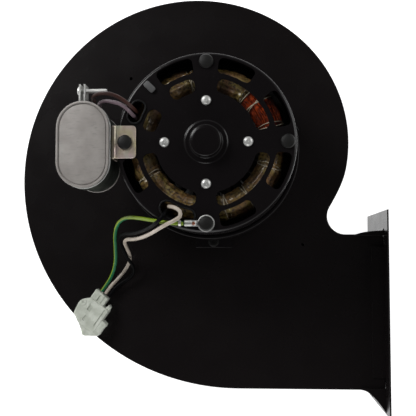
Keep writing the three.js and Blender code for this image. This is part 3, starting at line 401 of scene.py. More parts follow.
def lacing_cord():
    made = Finish("lacing_cord", {})
    tone = made.mixed(made.noise(1.2, 3), (0.36, 0.31, 0.21), (0.52, 0.47, 0.37))
    return made.surface(tone, made.spread(made.noise(0.8), 0.55, 0.75), made.noise(0.3), 0.05)


def fibre():
    made = Finish("fibre", {})
    tone = made.mixed(made.noise(0.9, 5), (0.26, 0.15, 0.06), (0.36, 0.23, 0.1))
    return made.surface(tone, made.spread(made.noise(2, 3), 0.65, 0.85), made.noise(0.4, 4), 0.03)


def moulded(name, dark, light, roughness, soft=0.0, size=9, gloss=0.5):
    """Moulded plastic with faint flow marks."""
    depth = {"Subsurface Weight": soft, "Subsurface Radius": (1, 1, 1), "Subsurface Scale": 1.5 * MM}
    made = Finish(name, {"Specular IOR Level": gloss, **depth})
    tone = made.mixed(made.noise(size, 3), dark, light)
    return made.surface(tone, made.spread(made.noise(4, 3), *roughness), made.noise(0.7, 3), 0.012, 0.6)


def insulation(name, dark, light, gloss=0.5):
    """Extruded lead insulation, a little glossy, with handling marks."""
    made = Finish(name, {"Specular IOR Level": gloss, "Coat Weight": 0.3 * gloss, "Coat Roughness": 0.3})
    tone = made.mixed(made.noise(8, 4), dark, light)
    return made.surface(tone, made.spread(made.noise(3, 4), 0.35, 0.5), made.noise(1.1, 3), 0.02, 0.6)


def bolt_black():
    """Black phosphate: dull and faintly grainy."""
    made = Finish("bolt_black", {"Specular IOR Level": 0.3})
    grain = made.noise(0.55, 4)
    tone = made.mixed(grain, (0.0015, 0.0014, 0.0013), (0.005, 0.0047, 0.0042))
    return made.surface(tone, made.spread(grain, 0.42, 0.62), grain, 0.05)


def make_finishes():
    """Every material by the name of its slot, with four that are only seen beside another finish."""
    made = [
        painted("housing_paint", (0.0052, 0.004, 0.0042), (0.0059, 0.0046, 0.0048), (0.25, 0.29), 1.3),
        painted("motor_paint", (0.0042, 0.0033, 0.0037), (0.0048, 0.0038, 0.0042), (0.2, 0.24), 1.6),
        bolt_black(),
        plated("zinc_steel", (0.5, 0.505, 0.49), (0.64, 0.64, 0.62), 0.65, (0.32, 0.48)),
        yellow_zinc(),
        galvanised(),
        plated("machined_steel", grey(0.42), grey(0.6), 1, (0.18, 0.34), grain=0.5, stretch=(0.3, 0.3, 2)),
        laminated(),
        can_aluminium(),
        # A dark copy of the can's metal for its side wall and the strap's sides: painted shade and a painted dark
        # reflection.
        plated("can_side_painted_shade", (0.06, 0.068, 0.058), (0.1, 0.108, 0.095), 0.9, (0.35, 0.5)),
        plated("cast_aluminium", grey(0.4), grey(0.56), 0.85, (0.4, 0.6), grain=1),
        plated("conductor", (0.4, 0.14, 0.08), (0.6, 0.25, 0.15), 0.9, (0.25, 0.4)),
        bronze(),
        winding_tape(),
        winding_enamel(),
        lacing_cord(),
        fibre(),
        moulded("dark_plastic", grey(0.002), (0.003, 0.0031, 0.0035), (0.4, 0.5), gloss=0.2),
        moulded("grey_nylon", grey(0.06), (0.088, 0.09, 0.092), (0.42, 0.56), 0.2),
        moulded("milky_nylon", (0.5, 0.53, 0.46), (0.66, 0.69, 0.62), (0.26, 0.4), 0.5, size=6),
        insulation("earth_insulation", (0.004, 0.12, 0.045), (0.008, 0.17, 0.07), 0.25),
        insulation("earth_stripe", (0.15, 0.23, 0.008), (0.2, 0.29, 0.012), 0.25),
        insulation("white_insulation", (0.37, 0.32, 0.26), (0.48, 0.42, 0.36), 0.4),
        insulation("black_insulation", (0.0008, 0.0008, 0.001), (0.0015, 0.0015, 0.002), 0.04),
        insulation("brown_insulation", (0.02, 0.007, 0.005), (0.042, 0.014, 0.01), 0.22),
        insulation("mauve_insulation", (0.11, 0.075, 0.09), (0.16, 0.115, 0.135), 0.4),
    ]
    return {finish.name: finish.material for finish in made}


# ---- Mesh building, in fan millimetres ----


def turned(profile, steps=96):
    """A profile of (radius, height) turned about Z. It closes on itself, or starts and ends on the axis."""
    bm = bmesh.new()
    rings = []
    for radius, height in profile:
        if radius == 0:
            rings.append([bm.verts.new((0, 0, height))] * steps)
        else:
            angles = [FULL_TURN * i / steps for i in range(steps)]
            rings.append([bm.verts.new((radius * cos(a), radius * sin(a), height)) for a in angles])
    pairs = list(zip(rings, rings[1:]))
    if profile[0][0] > 0:
        pairs.append((rings[-1], rings[0]))
    skin(bm, pairs)
    return bm


def skin(bm, pairs, around=True):
    """Faces between pairs of rings with the same number of vertices."""
    for low, high in pairs:
        for i in range(0 if around else 1, len(low)):
            corners = list(dict.fromkeys((low[i - 1], low[i], high[i], high[i - 1])))
            if len(corners) > 2:
                bm.faces.new(corners)


def bend_line(start, corner, end, steps):
    """Points along the curve that leaves start and reaches end on lines through the corner."""
    made = []
    for k in range(steps + 1):
        t = k / steps
        made.append(tuple(start * (1 - t) ** 2 + corner * 2 * t * (1 - t) + end * t**2))
    return made


def rounded(points, radius, steps=4, closed=True):
    """The line with each corner turned into a short curve that starts radius before it."""
    made = []
    count = len(points)
    for i, point in enumerate(points):
        corner = Vector(point)
        if not closed and i in (0, count - 1):
            made.append(tuple(corner))
            continue
        before = Vector(points[i - 1]) - corner
        after = Vector(points[(i + 1) % count]) - corner
        reach = min(radius, 0.45 * before.length, 0.45 * after.length)
        start = corner + before.normalized() * reach
        end = corner + after.normalized() * reach
        made += bend_line(start, corner, end, steps)
    return made


def profile_on_axis(points, radius, steps=4):
    """A lathe profile that starts and ends on the axis, with its corners rounded."""
    return [(abs(r), z) for r, z in rounded(points, radius, steps, closed=False)]


def circle(radius, x=0, y=0, steps=32):
    return arc(radius, 0, 360, steps, x, y)[:-1]


def arc(radius, start, end, steps, x=0, y=0):
    """Points on a circle from one angle to another, in degrees."""
    angles = [radians(start + (end - start) * i / steps) for i in range(steps + 1)]
    return [(x + radius * cos(a), y + radius * sin(a)) for a in angles]


def rectangle(x0, y0, x1, y1):
    return [(x0, y0), (x1, y0), (x1, y1), (x0, y1)]


def on_circle(radius, angle):
    return (radius * cos(radians(angle)), radius * sin(radians(angle)))


def prism(outline, low, high, holes=(), edge=0.2, rounds=0):
    """A flat piece between two heights, with its outline and holes chamfered or rounded by edge."""
    curve = bpy.data.curves.new("outline", "CURVE")
    curve.dimensions = "2D"
    curve.fill_mode = "BOTH"
    curve.extrude = (high - low) / 2 - edge
    curve.bevel_depth = edge
    curve.bevel_resolution = rounds
    curve.offset = -edge
    for ring in (outline, *holes):
        spline = curve.splines.new("POLY")
        spline.points.add(len(ring) - 1)
        for point, (x, y) in zip(spline.points, ring):
            point.co = (x, y, 0, 1)
        spline.use_cyclic_u = True
    holder = bpy.data.objects.new("outline", curve)
    mesh = bpy.data.meshes.new_from_object(holder)
    bm = bmesh.new()
    bm.from_mesh(mesh)
    bpy.data.objects.remove(holder)
    bpy.data.curves.remove(curve)
    bpy.data.meshes.remove(mesh)
    bmesh.ops.remove_doubles(bm, verts=bm.verts, dist=WELD)
    return moved(bm, Matrix.Translation((0, 0, (low + high) / 2)))


def cutter(outline, low, high):
    return prism(outline, low, high, edge=CUTTER_EDGE)


def moved(bm, matrix):
    bmesh.ops.transform(bm, matrix=matrix, verts=bm.verts)
    return bm


def shifted(bm, x=0, y=0, z=0):
    return moved(bm, Matrix.Translation((x, y, z)))


def spun(bm, angle, axis="Z"):
    return moved(bm, Matrix.Rotation(radians(angle), 4, axis))


def painted_with(bm, index):
    for face in bm.faces:
        face.material_index = index
    return bm


def joined(*parts):
    """One mesh of several, which are used up."""
    whole = bmesh.new()
    for part in parts:
        mesh = bpy.data.meshes.new("part")
        part.to_mesh(mesh)
        part.free()
        whole.from_mesh(mesh)
        bpy.data.meshes.remove(mesh)
    return whole


def bare_object(bm):
    bmesh.ops.recalc_face_normals(bm, faces=bm.faces)
    mesh = bpy.data.meshes.new("bare")
    bm.to_mesh(mesh)
    bm.free()
    return placed("bare", mesh)


def soften(target, width, angle):
    """A chamfer on the edges that are sharper than the angle."""
    made = target.modifiers.new("soften", "BEVEL")
    made.width = width
    made.segments = 1
    made.limit_method = "ANGLE"
    made.angle_limit = radians(angle)


def carved(body, tools, operation="DIFFERENCE", edge=0, edge_angle=60):
    """The body after a boolean with the tools, with its sharp edges chamfered if edge is given."""
    host = bare_object(body)
    tool = bare_object(tools)
    cut = host.modifiers.new("cut", "BOOLEAN")
    cut.operation = operation
    cut.solver = "EXACT"
    cut.use_self = True
    cut.object = tool
    if edge:
        soften(host, edge, edge_angle)
    bpy.context.view_layer.update()
    result = host.evaluated_get(bpy.context.evaluated_depsgraph_get())
    bm = bmesh.new()
    bm.from_mesh(result.to_mesh())
    result.to_mesh_clear()
    for spent in (host, tool):
        mesh = spent.data
        bpy.data.objects.remove(spent)
        bpy.data.meshes.remove(mesh)
    return bm


def frames_along(path):
    """A point, a side and an up vector at each point of a path, carried along without twisting."""
    points = [Vector(p) for p in path]
    side = None
    made = []
    for i, point in enumerate(points):
        ahead = points[min(i + 1, len(points) - 1)]
        behind = points[max(i - 1, 0)]
        along = (ahead - behind).normalized()
        if side is None:
            side = along.cross(Vector((0, 0, 1)) if abs(along.z) < 0.9 else Vector((0, 1, 0)))
        side = (side - along * side.dot(along)).normalized()
        made.append((point, side, along.cross(side)))
    return made


def tube(path, radius, sides=8, loop=False, turn=0.0):
    """A round tube along a path, closed with flat ends, or joined end to end for a loop."""
    bm = bmesh.new()
    rings = []
    for i, (point, side, up) in enumerate(frames_along(path)):
        ring = []
        for k in range(sides):
            angle = FULL_TURN * k / sides + turn * i
            ring.append(bm.verts.new(point + radius * (side * cos(angle) + up * sin(angle))))
        rings.append(ring)
    skin(bm, zip(rings, rings[1:]))
    if not loop:
        bm.faces.new(rings[0])
        bm.faces.new(rings[-1])
    return bm


def smooth_line(points, step):
    """Points about step apart on the centripetal Catmull-Rom curve through the given points."""
    points = [Vector(p) for p in points]
    ends = [2 * points[0] - points[1], *points, 2 * points[-1] - points[-2]]
    made = [points[0]]
    for p0, p1, p2, p3 in zip(ends, ends[1:], ends[2:], ends[3:]):
        t1 = (p1 - p0).length ** 0.5
        t2 = t1 + (p2 - p1).length ** 0.5
        t3 = t2 + (p3 - p2).length ** 0.5
        count = max(1, round((p2 - p1).length / step))
        for k in range(1, count + 1):
            t = t1 + (t2 - t1) * k / count
            a1 = p0.lerp(p1, t / t1)
            a2 = p1.lerp(p2, (t - t1) / (t2 - t1))
            a3 = p2.lerp(p3, (t - t2) / (t3 - t2))
            b1 = a1.lerp(a2, t / t2)
            b2 = a2.lerp(a3, (t - t1) / (t3 - t1))
            made.append(b1.lerp(b2, (t - t1) / (t2 - t1)))
    return made


def piece(name, bm, *nodes, body="housing", crease=CREASE, extra=()):
    """Makes the mesh an object of that name, which stands for the nodes and takes the finish of the first."""
    bmesh.ops.remove_doubles(bm, verts=bm.verts, dist=WELD)
    bmesh.ops.recalc_face_normals(bm, faces=bm.faces)
    moved(bm, TO_FRAME)
    mesh = bpy.data.meshes.new(name)
    bm.to_mesh(mesh)
    bm.free()
    mesh.shade_smooth()
    mesh.set_sharp_from_angle(angle=radians(crease))
    mesh.materials.append(FINISHES[SLOT_OF[nodes[0]]])
    for material in extra:
        mesh.materials.append(material)
    made = placed(name, mesh)
    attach(made, body)
    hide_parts(*nodes)
    return made


# ---- Housing ----


def spiral_point(angle):
    radius = SPIRAL_START * exp(SPIRAL_GROWTH * angle)
    return SPIRAL_CENTRE + Vector((radius * cos(angle), radius * sin(angle)))


def scroll_line():
    """The outline of the side plates, from the top of the outlet round to its bottom."""
    points = [Vector((OUTLET_END, OUTLET_TOP))]
    cutoff = arc(CUTOFF["radius"], CUTOFF["from"], CUTOFF["to"], 20, CUTOFF["x"], CUTOFF["y"])
    points += [Vector(p) for p in cutoff]
    last = points[-1]
    first = spiral_point(SPIRAL_FROM)
    to = radians(CUTOFF["to"])
    leaving = Vector((-sin(to), cos(to)))
    arriving = (spiral_point(SPIRAL_FROM + 0.01) - first).normalized()
    reach = (first - last).length / 3
    handle_out = last - leaving * reach
    handle_in = first - arriving * reach
    blend_steps = 12
    for i in range(1, blend_steps):
        t = i / blend_steps
        s = 1 - t
        points.append(last * s**3 + handle_out * 3 * s * s * t + handle_in * 3 * s * t * t + first * t**3)
    spiral_steps = 168
    for i in range(spiral_steps + 1):
        points.append(spiral_point(SPIRAL_FROM + (SPIRAL_TO - SPIRAL_FROM) * i / spiral_steps))
    points.append(Vector((OUTLET_END, OUTLET_BOTTOM)))
    return points


def offset_line(line, distance):
    """The line moved to its left."""
    line = [Vector(p) for p in line]
    normals = []
    for a, b in zip(line, line[1:]):
        along = (b - a).normalized()
        normals.append(Vector((-along.y, along.x)))
    made = []
    for i, point in enumerate(line):
        before = normals[max(i - 1, 0)]
        after = normals[min(i, len(normals) - 1)]
        middle = (before + after).normalized()
        made.append(tuple(point + middle * (distance / middle.dot(before))))
    return made


def housing():
    outline = [tuple(p) for p in scroll_line()]
    holes = [circle(SHAFT_HOLE)] + [circle(PILOT_HOLE, x, y, 20) for x, y in PILOT_HOLES]
    piece("motor_side_plate", prism(outline, -SHEET, 0, holes), "housing_motor_plate")
    inlet_side = prism(outline, -WIDTH, -WIDTH + SHEET, [circle(INLET_OPENING, steps=120)])
    piece("inlet_side_plate", inlet_side, "housing_inlet_plate")
    outer = offset_line(outline, WRAP_INSET)
    inner = offset_line(outline, WRAP_INSET + SHEET)
    seat = SHEET / 2  # the wrap's edges run this far into the side plates, so that no gap shows
    wrap = prism(outer + inner[::-1], -WIDTH + seat, -seat, edge=0.1)
    piece("wrap", wrap, "scroll_wrap")


def bent_leg(wall, outward):
    """A leg of the flange in the X-Y plane: it lies on the duct and bends out to the lip."""
    outside = wall + outward * LIP_THICK
    bend_x = LIP_PLANE - LEG_BEND
    bend_y = outside + outward * LEG_BEND
    start = -90 if outward > 0 else 90
    outer_bend = arc(LEG_BEND + LIP_THICK, start, 0, 14, bend_x, bend_y)
    inner_bend = arc(LEG_BEND, 0, start, 14, bend_x, bend_y)
    return [(LEG_FROM, wall), *outer_bend, *inner_bend, (LEG_FROM, outside)]


def flange_web(edge, outward, web):
    """A web beside the duct: level with it at its start, then out along a curve to the lip."""
    inside = edge - outward
    start = Vector((web["from"], edge))
    turn = Vector((web["turn"], edge + outward * web["turn_rise"]))
    end = Vector((LIP_PLANE + LIP_OVERLAP, edge + outward * web["rise"]))
    return [(web["from"], inside), *bend_line(start, turn, end, 14), (LIP_PLANE + LIP_OVERLAP, inside)]


def flange():
    top_wall = OUTLET_TOP + GAP
    bottom_wall = OUTLET_BOTTOM - GAP
    far = -WIDTH - GAP
    bend = LEG_BEND + LIP_THICK - 0.5
    # The lip is drawn with its plane as X-Y, then stood up to face along +X.
    edge = LIP_WIDTH
    lip_outline = rectangle(OUTLET_BOTTOM - edge, -WIDTH - edge, OUTLET_TOP + edge, edge)
    window = rectangle(bottom_wall - bend, far + LIP_COVER, top_wall + bend, GAP - LIP_COVER)
    lip = prism(lip_outline, 0, LIP_THICK, [window[::-1]], edge=0.25)
    stand = Matrix(((0, 0, 1, LIP_PLANE), (1, 0, 0, 0), (0, 1, 0, 0), (0, 0, 0, 1)))
    moved(lip, stand)
    side = rectangle(LEG_FROM, SIDE_LEG["bottom"], LIP_PLANE + 0.6, SIDE_LEG["top"])
    parts = [
        lip,
        prism(bent_leg(top_wall, 1), far, GAP, edge=0.2),
        prism(bent_leg(bottom_wall, -1), far, GAP, edge=0.2),
    ]
    for low, high in ((GAP, GAP + SHEET), (far - SHEET, far)):
        parts.append(prism(side, low, high, edge=0.05))
        parts.append(prism(flange_web(OUTLET_TOP, 1, WEB_TOP), low, high, edge=0.2))
        parts.append(prism(flange_web(OUTLET_BOTTOM, -1, WEB_BOTTOM), low, high, edge=0.2))
    piece("flange", joined(*parts), "outlet_flange")


def inlet_ring():
    rim_face = -WIDTH - GAP
    land = rim_face - INLET_LAND
    profile = [
        (93, rim_face), (93, rim_face - SHEET), (79, rim_face - SHEET), (78, land - SHEET),
        (60, land - SHEET), (54, land + 0.8), (50, land + 5.5), (50, land + 11), (51.2, land + 11),
        (51.2, land + 6.2), (54.8, land + 2), (60.6, land), (77, land), (78, rim_face),
    ]
    piece("inlet_cone", turned(rounded(profile, 1.2, 3), ROUND_STEPS), "inlet_ring")
    for i in range(4):
        screw = spun(hex_screw(3.4, 2, 6.5), 180, "X")
        x, y = on_circle(INLET_SCREW_CIRCLE, 45 + 90 * i)
        shifted(screw, x, y, rim_face - SHEET - GAP)
        piece(f"ring_screw_{i + 1}", screw, f"inlet_ring_screw_{i + 1}")


def thread(root, start, turns):
    """The profile of a screw thread that goes down from a height."""
    made = []
    for i in range(turns):
        made.append((SCREW_RADIUS * root, start - THREAD_PITCH * (i + 0.5)))
        made.append((SCREW_RADIUS, start - THREAD_PITCH * (i + 1)))
    return made


def hex_screw(head, height, length):
    """A hexagon head with a washer face, on a shank that goes down from z = 0."""
    washer = turned(rounded([(0.2, 0), (head, 0), (head, 0.5), (head * 0.9, 0.8), (0.2, 0.8)], 0.15, 2), 32)
    hexagon = prism(circle(head * 0.86, steps=6), 0.6, height, edge=0.15)
    recess = [(0, height + 1), (head * 0.45, height + 1), (head * 0.4, height - 0.5), (0, height - 0.5)]
    root = 0.82
    shank = [(0, 0.1), (SCREW_RADIUS, 0.1), *thread(root, 0, int((length - 1) / THREAD_PITCH))]
    shank += [(SCREW_RADIUS * root * 0.6, -length), (0, -length)]
    return joined(washer, carved(hexagon, turned(recess, 24)), turned(shank, 20))


# ---- Motor ----


def arc_slot(inner, outer, corner, start, end, grow=0.0):
    """A slot along a circle, with rounded corners, grown outward by a distance."""
    corner += grow
    far = outer + grow - corner
    near = inner - grow + corner
    turn = degrees(grow * 2 / (inner + outer))
    start, end = start - turn, end + turn
    far_in = degrees(asin(corner / far))
    near_in = degrees(asin(corner / near))
    made = arc(outer + grow, start + far_in, end - far_in, 18)
    made += arc(corner, end - far_in, end + 90, 7, *on_circle(far, end - far_in))[1:]
    made += arc(corner, end + 90, end - near_in + 180, 7, *on_circle(near, end - near_in))[1:]
    made += arc(inner - grow, end - near_in, start + near_in, 18)[1:]
    made += arc(corner, start + near_in + 180, start + 270, 7, *on_circle(near, start + near_in))[1:]
    made += arc(corner, start - 90, start + far_in, 7, *on_circle(far, start + far_in))[1:-1]
    return made


def slot_tools(slots, low, high):
    inner, outer, corner, spans = slots
    return [cutter(arc_slot(inner, outer, corner, *span), low, high) for span in spans]


def four_holes(radius, low, high, hole):
    return [cutter(circle(hole, *on_circle(radius, 90 * i), steps=20), low, high) for i in range(4)]


def bell():
    # Radii, and heights above the face.
    shape = [
        (0, 9), (8.1, 9), (10.3, 8.4), (10.8, 7.2), (10.8, 1.1), (11.3, 0.7), (13.9, 0.6), (14.8, 0),
        (58.6, 0), (60.1, -0.8), (60.5, -3), (BELL_RADIUS, CASE_EDGE - FACE), (59.5, CASE_EDGE - FACE),
        (59, -2.6), (58.2, -CASE_SHEET), (BOSS_INNER, -CASE_SHEET), (BOSS_INNER, 5.5), (7, 7.5), (0, 7.5),
    ]
    body = turned(profile_on_axis([(r, FACE + z) for r, z in shape], 0.6), ROUND_STEPS)
    low, high = FACE - 4, FACE + 3
    tools = []
    for slots in (INNER_SLOTS, OUTER_SLOTS, LEAD_SLOT, CAPACITOR_SLOT):
        tools += slot_tools(slots, low, high)
    tools += four_holes(BOLT_CIRCLE, low, high, BOLT_HOLE)
    tools += four_holes(RIVET_CIRCLE, low, high, RIVET_HOLE)
    piece("bell", carved(body, joined(*tools), edge=0.18), "motor_outer_bell")


def shell():
    floor_top = SHELL_FLOOR + CASE_SHEET
    shape = [
        (6, SHELL_FLOOR), (60.5, SHELL_FLOOR), (62.6, 16.9), (SHELL_RADIUS, 19), (SHELL_RADIUS, CASE_EDGE),
        (61.1, CASE_EDGE), (61.1, 55.8), (62.3, 54), (62.3, 19.6), (59.5, floor_top), (10.8, floor_top),
        (10.8, 27), (BOSS_INNER, 27), (BOSS_INNER, floor_top), (6, floor_top),
    ]
    body = turned(rounded(shape, 0.7, 3), ROUND_STEPS)
    low, high = SHELL_FLOOR - 2, SHELL_FLOOR + 4
    tools = slot_tools(FLOOR_VENTS, low, high) + four_holes(BOLT_CIRCLE, low, high, BOLT_HOLE)
    piece("shell", carved(body, joined(*tools), edge=0.3), "motor_inner_shell")


def feet():
    top = SHELL_FLOOR - GAP
    inside = top - CASE_SHEET
    section = [
        (44, inside), (56.7, inside), (56.7, GAP), (69, GAP), (69, 1.8), (58.2, 1.8), (58.2, top), (44, top),
    ]
    for i, angle in enumerate(FOOT_ANGLES):
        foot = spun(prism(rounded(section, 0.25), -14, 14, edge=0.06), 90, "X")
        piece(f"foot_{i + 1}", spun(foot, angle), f"motor_foot_{i + 1}")
        screw = hex_screw(4, 2.4, 8.1)
        shifted(screw, *on_circle(FOOT_SCREW_CIRCLE, angle), 2.1)
        piece(f"foot_bolt_{i + 1}", screw, f"foot_screw_{i + 1}")


def fasteners():
    packing = [0, 0, 1.5, 1.1]  # the bracket and the ring terminal lie under the last two bolts
    bolt = [(0, 2.2), (3, 2.1), (4.2, 1.7), (4.8, 0.8), (4.9, 0.1), (4.6, 0), (BOLT_RADIUS, 0)]
    rivet = [
        (0, 1.35), (0.35, 1.4), (0.6, 1.72), (1.5, 1.75), (2.4, 1.4), (3, 0.85), (3.3, 0.2), (3.2, 0),
        (RIVET_RADIUS, 0), (RIVET_RADIUS, -3.9), (2.6, -4), (2.8, -4.4), (2.5, -5.1), (0, -5.2),
    ]
    for i in range(4):
        seat = FACE + GAP + packing[i]
        shank = [(BOLT_RADIUS, BOLT_END - seat), (0, BOLT_END - seat)]
        made = shifted(turned(bolt + shank, 40), *on_circle(BOLT_CIRCLE, 90 * i), seat)
        piece(f"bolt_{i + 1}", made, f"through_bolt_{i + 1}")
        made = shifted(turned(rivet, 32), *on_circle(RIVET_CIRCLE, 90 * i), FACE + GAP)
        piece(f"rivet_{i + 1}", made, f"retainer_rivet_{i + 1}")


def grommet(name, slots, node):
    inner, outer, corner, (span,) = slots
    bore = arc_slot(inner, outer, corner, *span, grow=-0.9)[::-1]
    liner = prism(arc_slot(inner, outer, corner, *span, grow=-0.3), FACE - 3.5, FACE + 0.8, [bore], edge=0.2)
    rim = arc_slot(inner, outer, corner, *span, grow=0.3)
    lip = prism(rim, FACE + 0.2, FACE + 1.1, [bore], edge=0.4, rounds=2)
    piece(name, joined(liner, lip), node, crease=40)


def tab():
    outline = rounded(rectangle(-TAB["long"], -TAB["wide"], TAB["long"], TAB["wide"]), 1.4, 5)
    made = prism(outline, FACE + GAP, FACE + TAB["top"], edge=0.5, rounds=2)
    made = spun(made, TAB["angle"])
    piece("tab", shifted(made, *on_circle(TAB["circle"], TAB["angle"])), "nylon_tab", crease=45)


# ---- Windings ----


def bundle_point(angle, turn, z, grow):
    """A point on the skin of an end winding: angle round the motor, turn round the bundle, in degrees."""
    x = cos(radians(turn))
    y = sin(radians(turn))
    square = 1 / (abs(x) ** 2.6 + abs(y) ** 2.6) ** (1 / 2.6)
    between_bolts = min(1, 1.3 * abs(sin(radians(2 * angle))))
    bulge = WINDING["bulge"] * between_bolts * max(0, x)
    radius = WINDING["circle"] + (WINDING["half_width"] * square + grow + bulge) * x
    height = z + (WINDING["half_height"] * square + grow) * y
    px, py = on_circle(radius, angle)
    return Vector((px, py, height))


def taped(start, end, z, lacing, seed):
    """A bundle of wire in varnished tape, pinched where it is laced."""
    degree = 1.1
    count = int((end - start) / degree)
    round_steps = 64
    bm = bmesh.new()
    rings = []
    for i in range(count + 1):
        angle = start + (end - start) * i / count
        pinch = sum(exp(-(((angle - tie) / 1.6) ** 2)) for tie in lacing)
        lap = (angle / 6.5) % 1  # tape laid on in turns, each over the edge of the last
        closing = 1 - min(1, min(i, count - i) / 3)
        ring = []
        for k in range(round_steps):
            turn = 360 * k / round_steps
            slope = (lap + turn / 360) % 1
            wander = noise.noise(Vector((angle / 6, turn / 35, seed))) * 0.8
            wander_wire = 110 * noise.noise(Vector((angle / 12, turn / 90, seed)))
            wire = 0.3 * sin(radians(turn * 15 + wander_wire))
            grow = -0.7 - 0.9 * pinch + 0.4 * slope + wander + wire - 1.6 * closing**2
            ring.append(bm.verts.new(bundle_point(angle, turn, z, grow)))
        rings.append(ring)
    skin(bm, zip(rings, rings[1:]))
    bm.faces.new(rings[0])
    bm.faces.new(rings[-1])
    return bm


def ties(angles, z, seed, grow=-0.75):
    """Lacing cord, two turns that cross at each angle, drawn tight round the bundle."""
    made = []
    for n, angle in enumerate(angles):
        for side in (-1, 1):
            path = []
            for k in range(37):
                turn = 10 * k
                cross = 1.9 * side * sin(radians(turn + 70 * n))
                stray = 0.5 * noise.noise(Vector((k / 5, n + 0.3 * side, seed)))
                path.append(bundle_point(angle + cross + stray, turn, z, grow))
            made.append(painted_with(tube(path, TIE_RADIUS, 6, loop=True), 1))
    return made


def wires(start, end, z):
    """Bare enamelled wire, side by side in three layers."""
    made = []
    count = 40
    steps = 22
    for layer, grow in ((0, -0.6), (1, -1.35), (2, -2.1)):
        for n in range(count):
            path = []
            base = 360 * (n + 0.5 * layer) / count
            for i in range(steps + 1):
                angle = start + (end - start) * i / steps
                drift = 12 * noise.noise(Vector((angle / 16, n * 0.37, layer * 5.0)))
                lift = 0.5 * noise.noise(Vector((angle / 11, n * 1.7, 3 + layer)))
                path.append(bundle_point(angle, base + drift, z, grow + lift))
            made.append(tube(path, WIRE_RADIUS, 6))
    return made


def windings():
    z = WINDING["top_z"]
    start, end = START_WINDING
    main_ties = [52, 104, 209, 287, 308, 340]
    cord = FINISHES["lacing_cord"]
    main = joined(taped(end + 1, start + 359, z, main_ties, 1.3), *ties(main_ties, z, 0.4))
    piece("main_winding", main, "main_winding_outboard", crease=50, extra=[cord])
    bare = joined(*wires(start, end, z), *ties([15.5, 39], z, 2.4, grow=0.1))
    piece("start_winding", bare, "start_winding_outboard", crease=50, extra=[cord])
    low = WINDING["bottom_z"]
    low_ties = [15 + 40 * i for i in range(9)]
    inboard = joined(taped(0, 359.5, low, low_ties, 7.7), *ties(low_ties, low, 5.4))
    piece("inboard_winding", inboard, "winding_inboard", crease=50, extra=[cord])


# ---- Wheel ----


def blade():
    middle = (WHEEL_RADIUS + WHEEL_INNER) / 2
    start, end = 90 - BLADE["half"], 90 + BLADE["half"]
    outer = arc(BLADE["arc"] + BLADE["thick"] / 2, start, end, 10)
    inner = arc(BLADE["arc"] - BLADE["thick"] / 2, end, start, 10)
    outline = [(middle + x, y - BLADE["arc"] * BLADE["lag"]) for x, y in outer + inner]
    return prism(outline, WHEEL_BOTTOM + 0.4, WHEEL_TOP - SHEET - 0.4, edge=0.1)


def wheel():
    back_top = WHEEL_TOP - SHEET - GAP

    def rim(low, high):
        return turned(rounded(rectangle(WHEEL_INNER, low, WHEEL_RADIUS, high), 0.4, 2), ROUND_STEPS)

    parts = [rim(WHEEL_BOTTOM, WHEEL_BOTTOM + SHEET), rim(back_top - SHEET, back_top)]
    parts += [spun(blade(), 360 * i / BLADES) for i in range(BLADES)]
    piece("blade_ring", joined(*parts), "wheel_blade_ring", body="rotor")
    plate = rounded(rectangle(7.3, WHEEL_TOP - SHEET, WHEEL_RADIUS, WHEEL_TOP), 0.4, 2)
    piece("back_plate", turned(plate, ROUND_STEPS), "wheel_back_plate", body="rotor")


# ---- Capacitor ----


def stadium(radius, z):
    half = CAN["straight"] / 2
    upper = arc(radius, 0, 180, 24, CAN["x"], CAN["y"] + half)
    lower = arc(radius, 180, 360, 24, CAN["x"], CAN["y"] - half)
    return [(x, y, z) for x, y in upper + lower]


def can():
    """A drawn can with a rim at each end, and a flat lid inside a groove a little below the upper rim."""
    top, bottom = CAN["top"], CAN["bottom"]
    side_low, side_high = bottom + 2.6, top - 2.6
    # Each rim as steps from its radius and its end of the can.
    foot = [(-2.3, 0.9), (-1.9, 0.2), (-0.7, 0), (-0.1, 0.4), (0, 1.2), (-0.05, 2.2)]
    crown = [
        (-0.5, -2.6), (-0.05, -2.1), (0, -0.5), (-0.12, -0.12), (-0.35, 0), (-1.1, -0.02), (-1.35, -0.4),
        (-1.5, -1.3), (-2, -1.3), (-2.25, -0.85), (-2.5, -0.75),
    ]
    centre = 0.05
    levels = [(centre, bottom + 0.9)]
    levels += [(CAN["low_rim"] + r, bottom + z) for r, z in foot]
    levels += [(CAN["body"], side_low), (CAN["body"], top - 3)]
    levels += [(CAN["rim"] + r, top + z) for r, z in crown]
    levels += [(centre, top - 0.7)]
    bm = bmesh.new()
    rings = [[bm.verts.new(p) for p in stadium(radius, z)] for radius, z in levels]
    skin(bm, zip(rings, rings[1:]))
    bm.faces.new(rings[0])
    bm.faces.new(rings[-1])
    # The side wall between the rims takes the dark metal: painted shade and a painted dark reflection, darker than
    # the lid and the rims.
    for face in bm.faces:
        face.material_index = 1 if side_low < face.calc_center_median().z < side_high else 0
    piece("can", bm, "capacitor_can", crease=35, extra=[FINISHES["can_side_painted_shade"]])


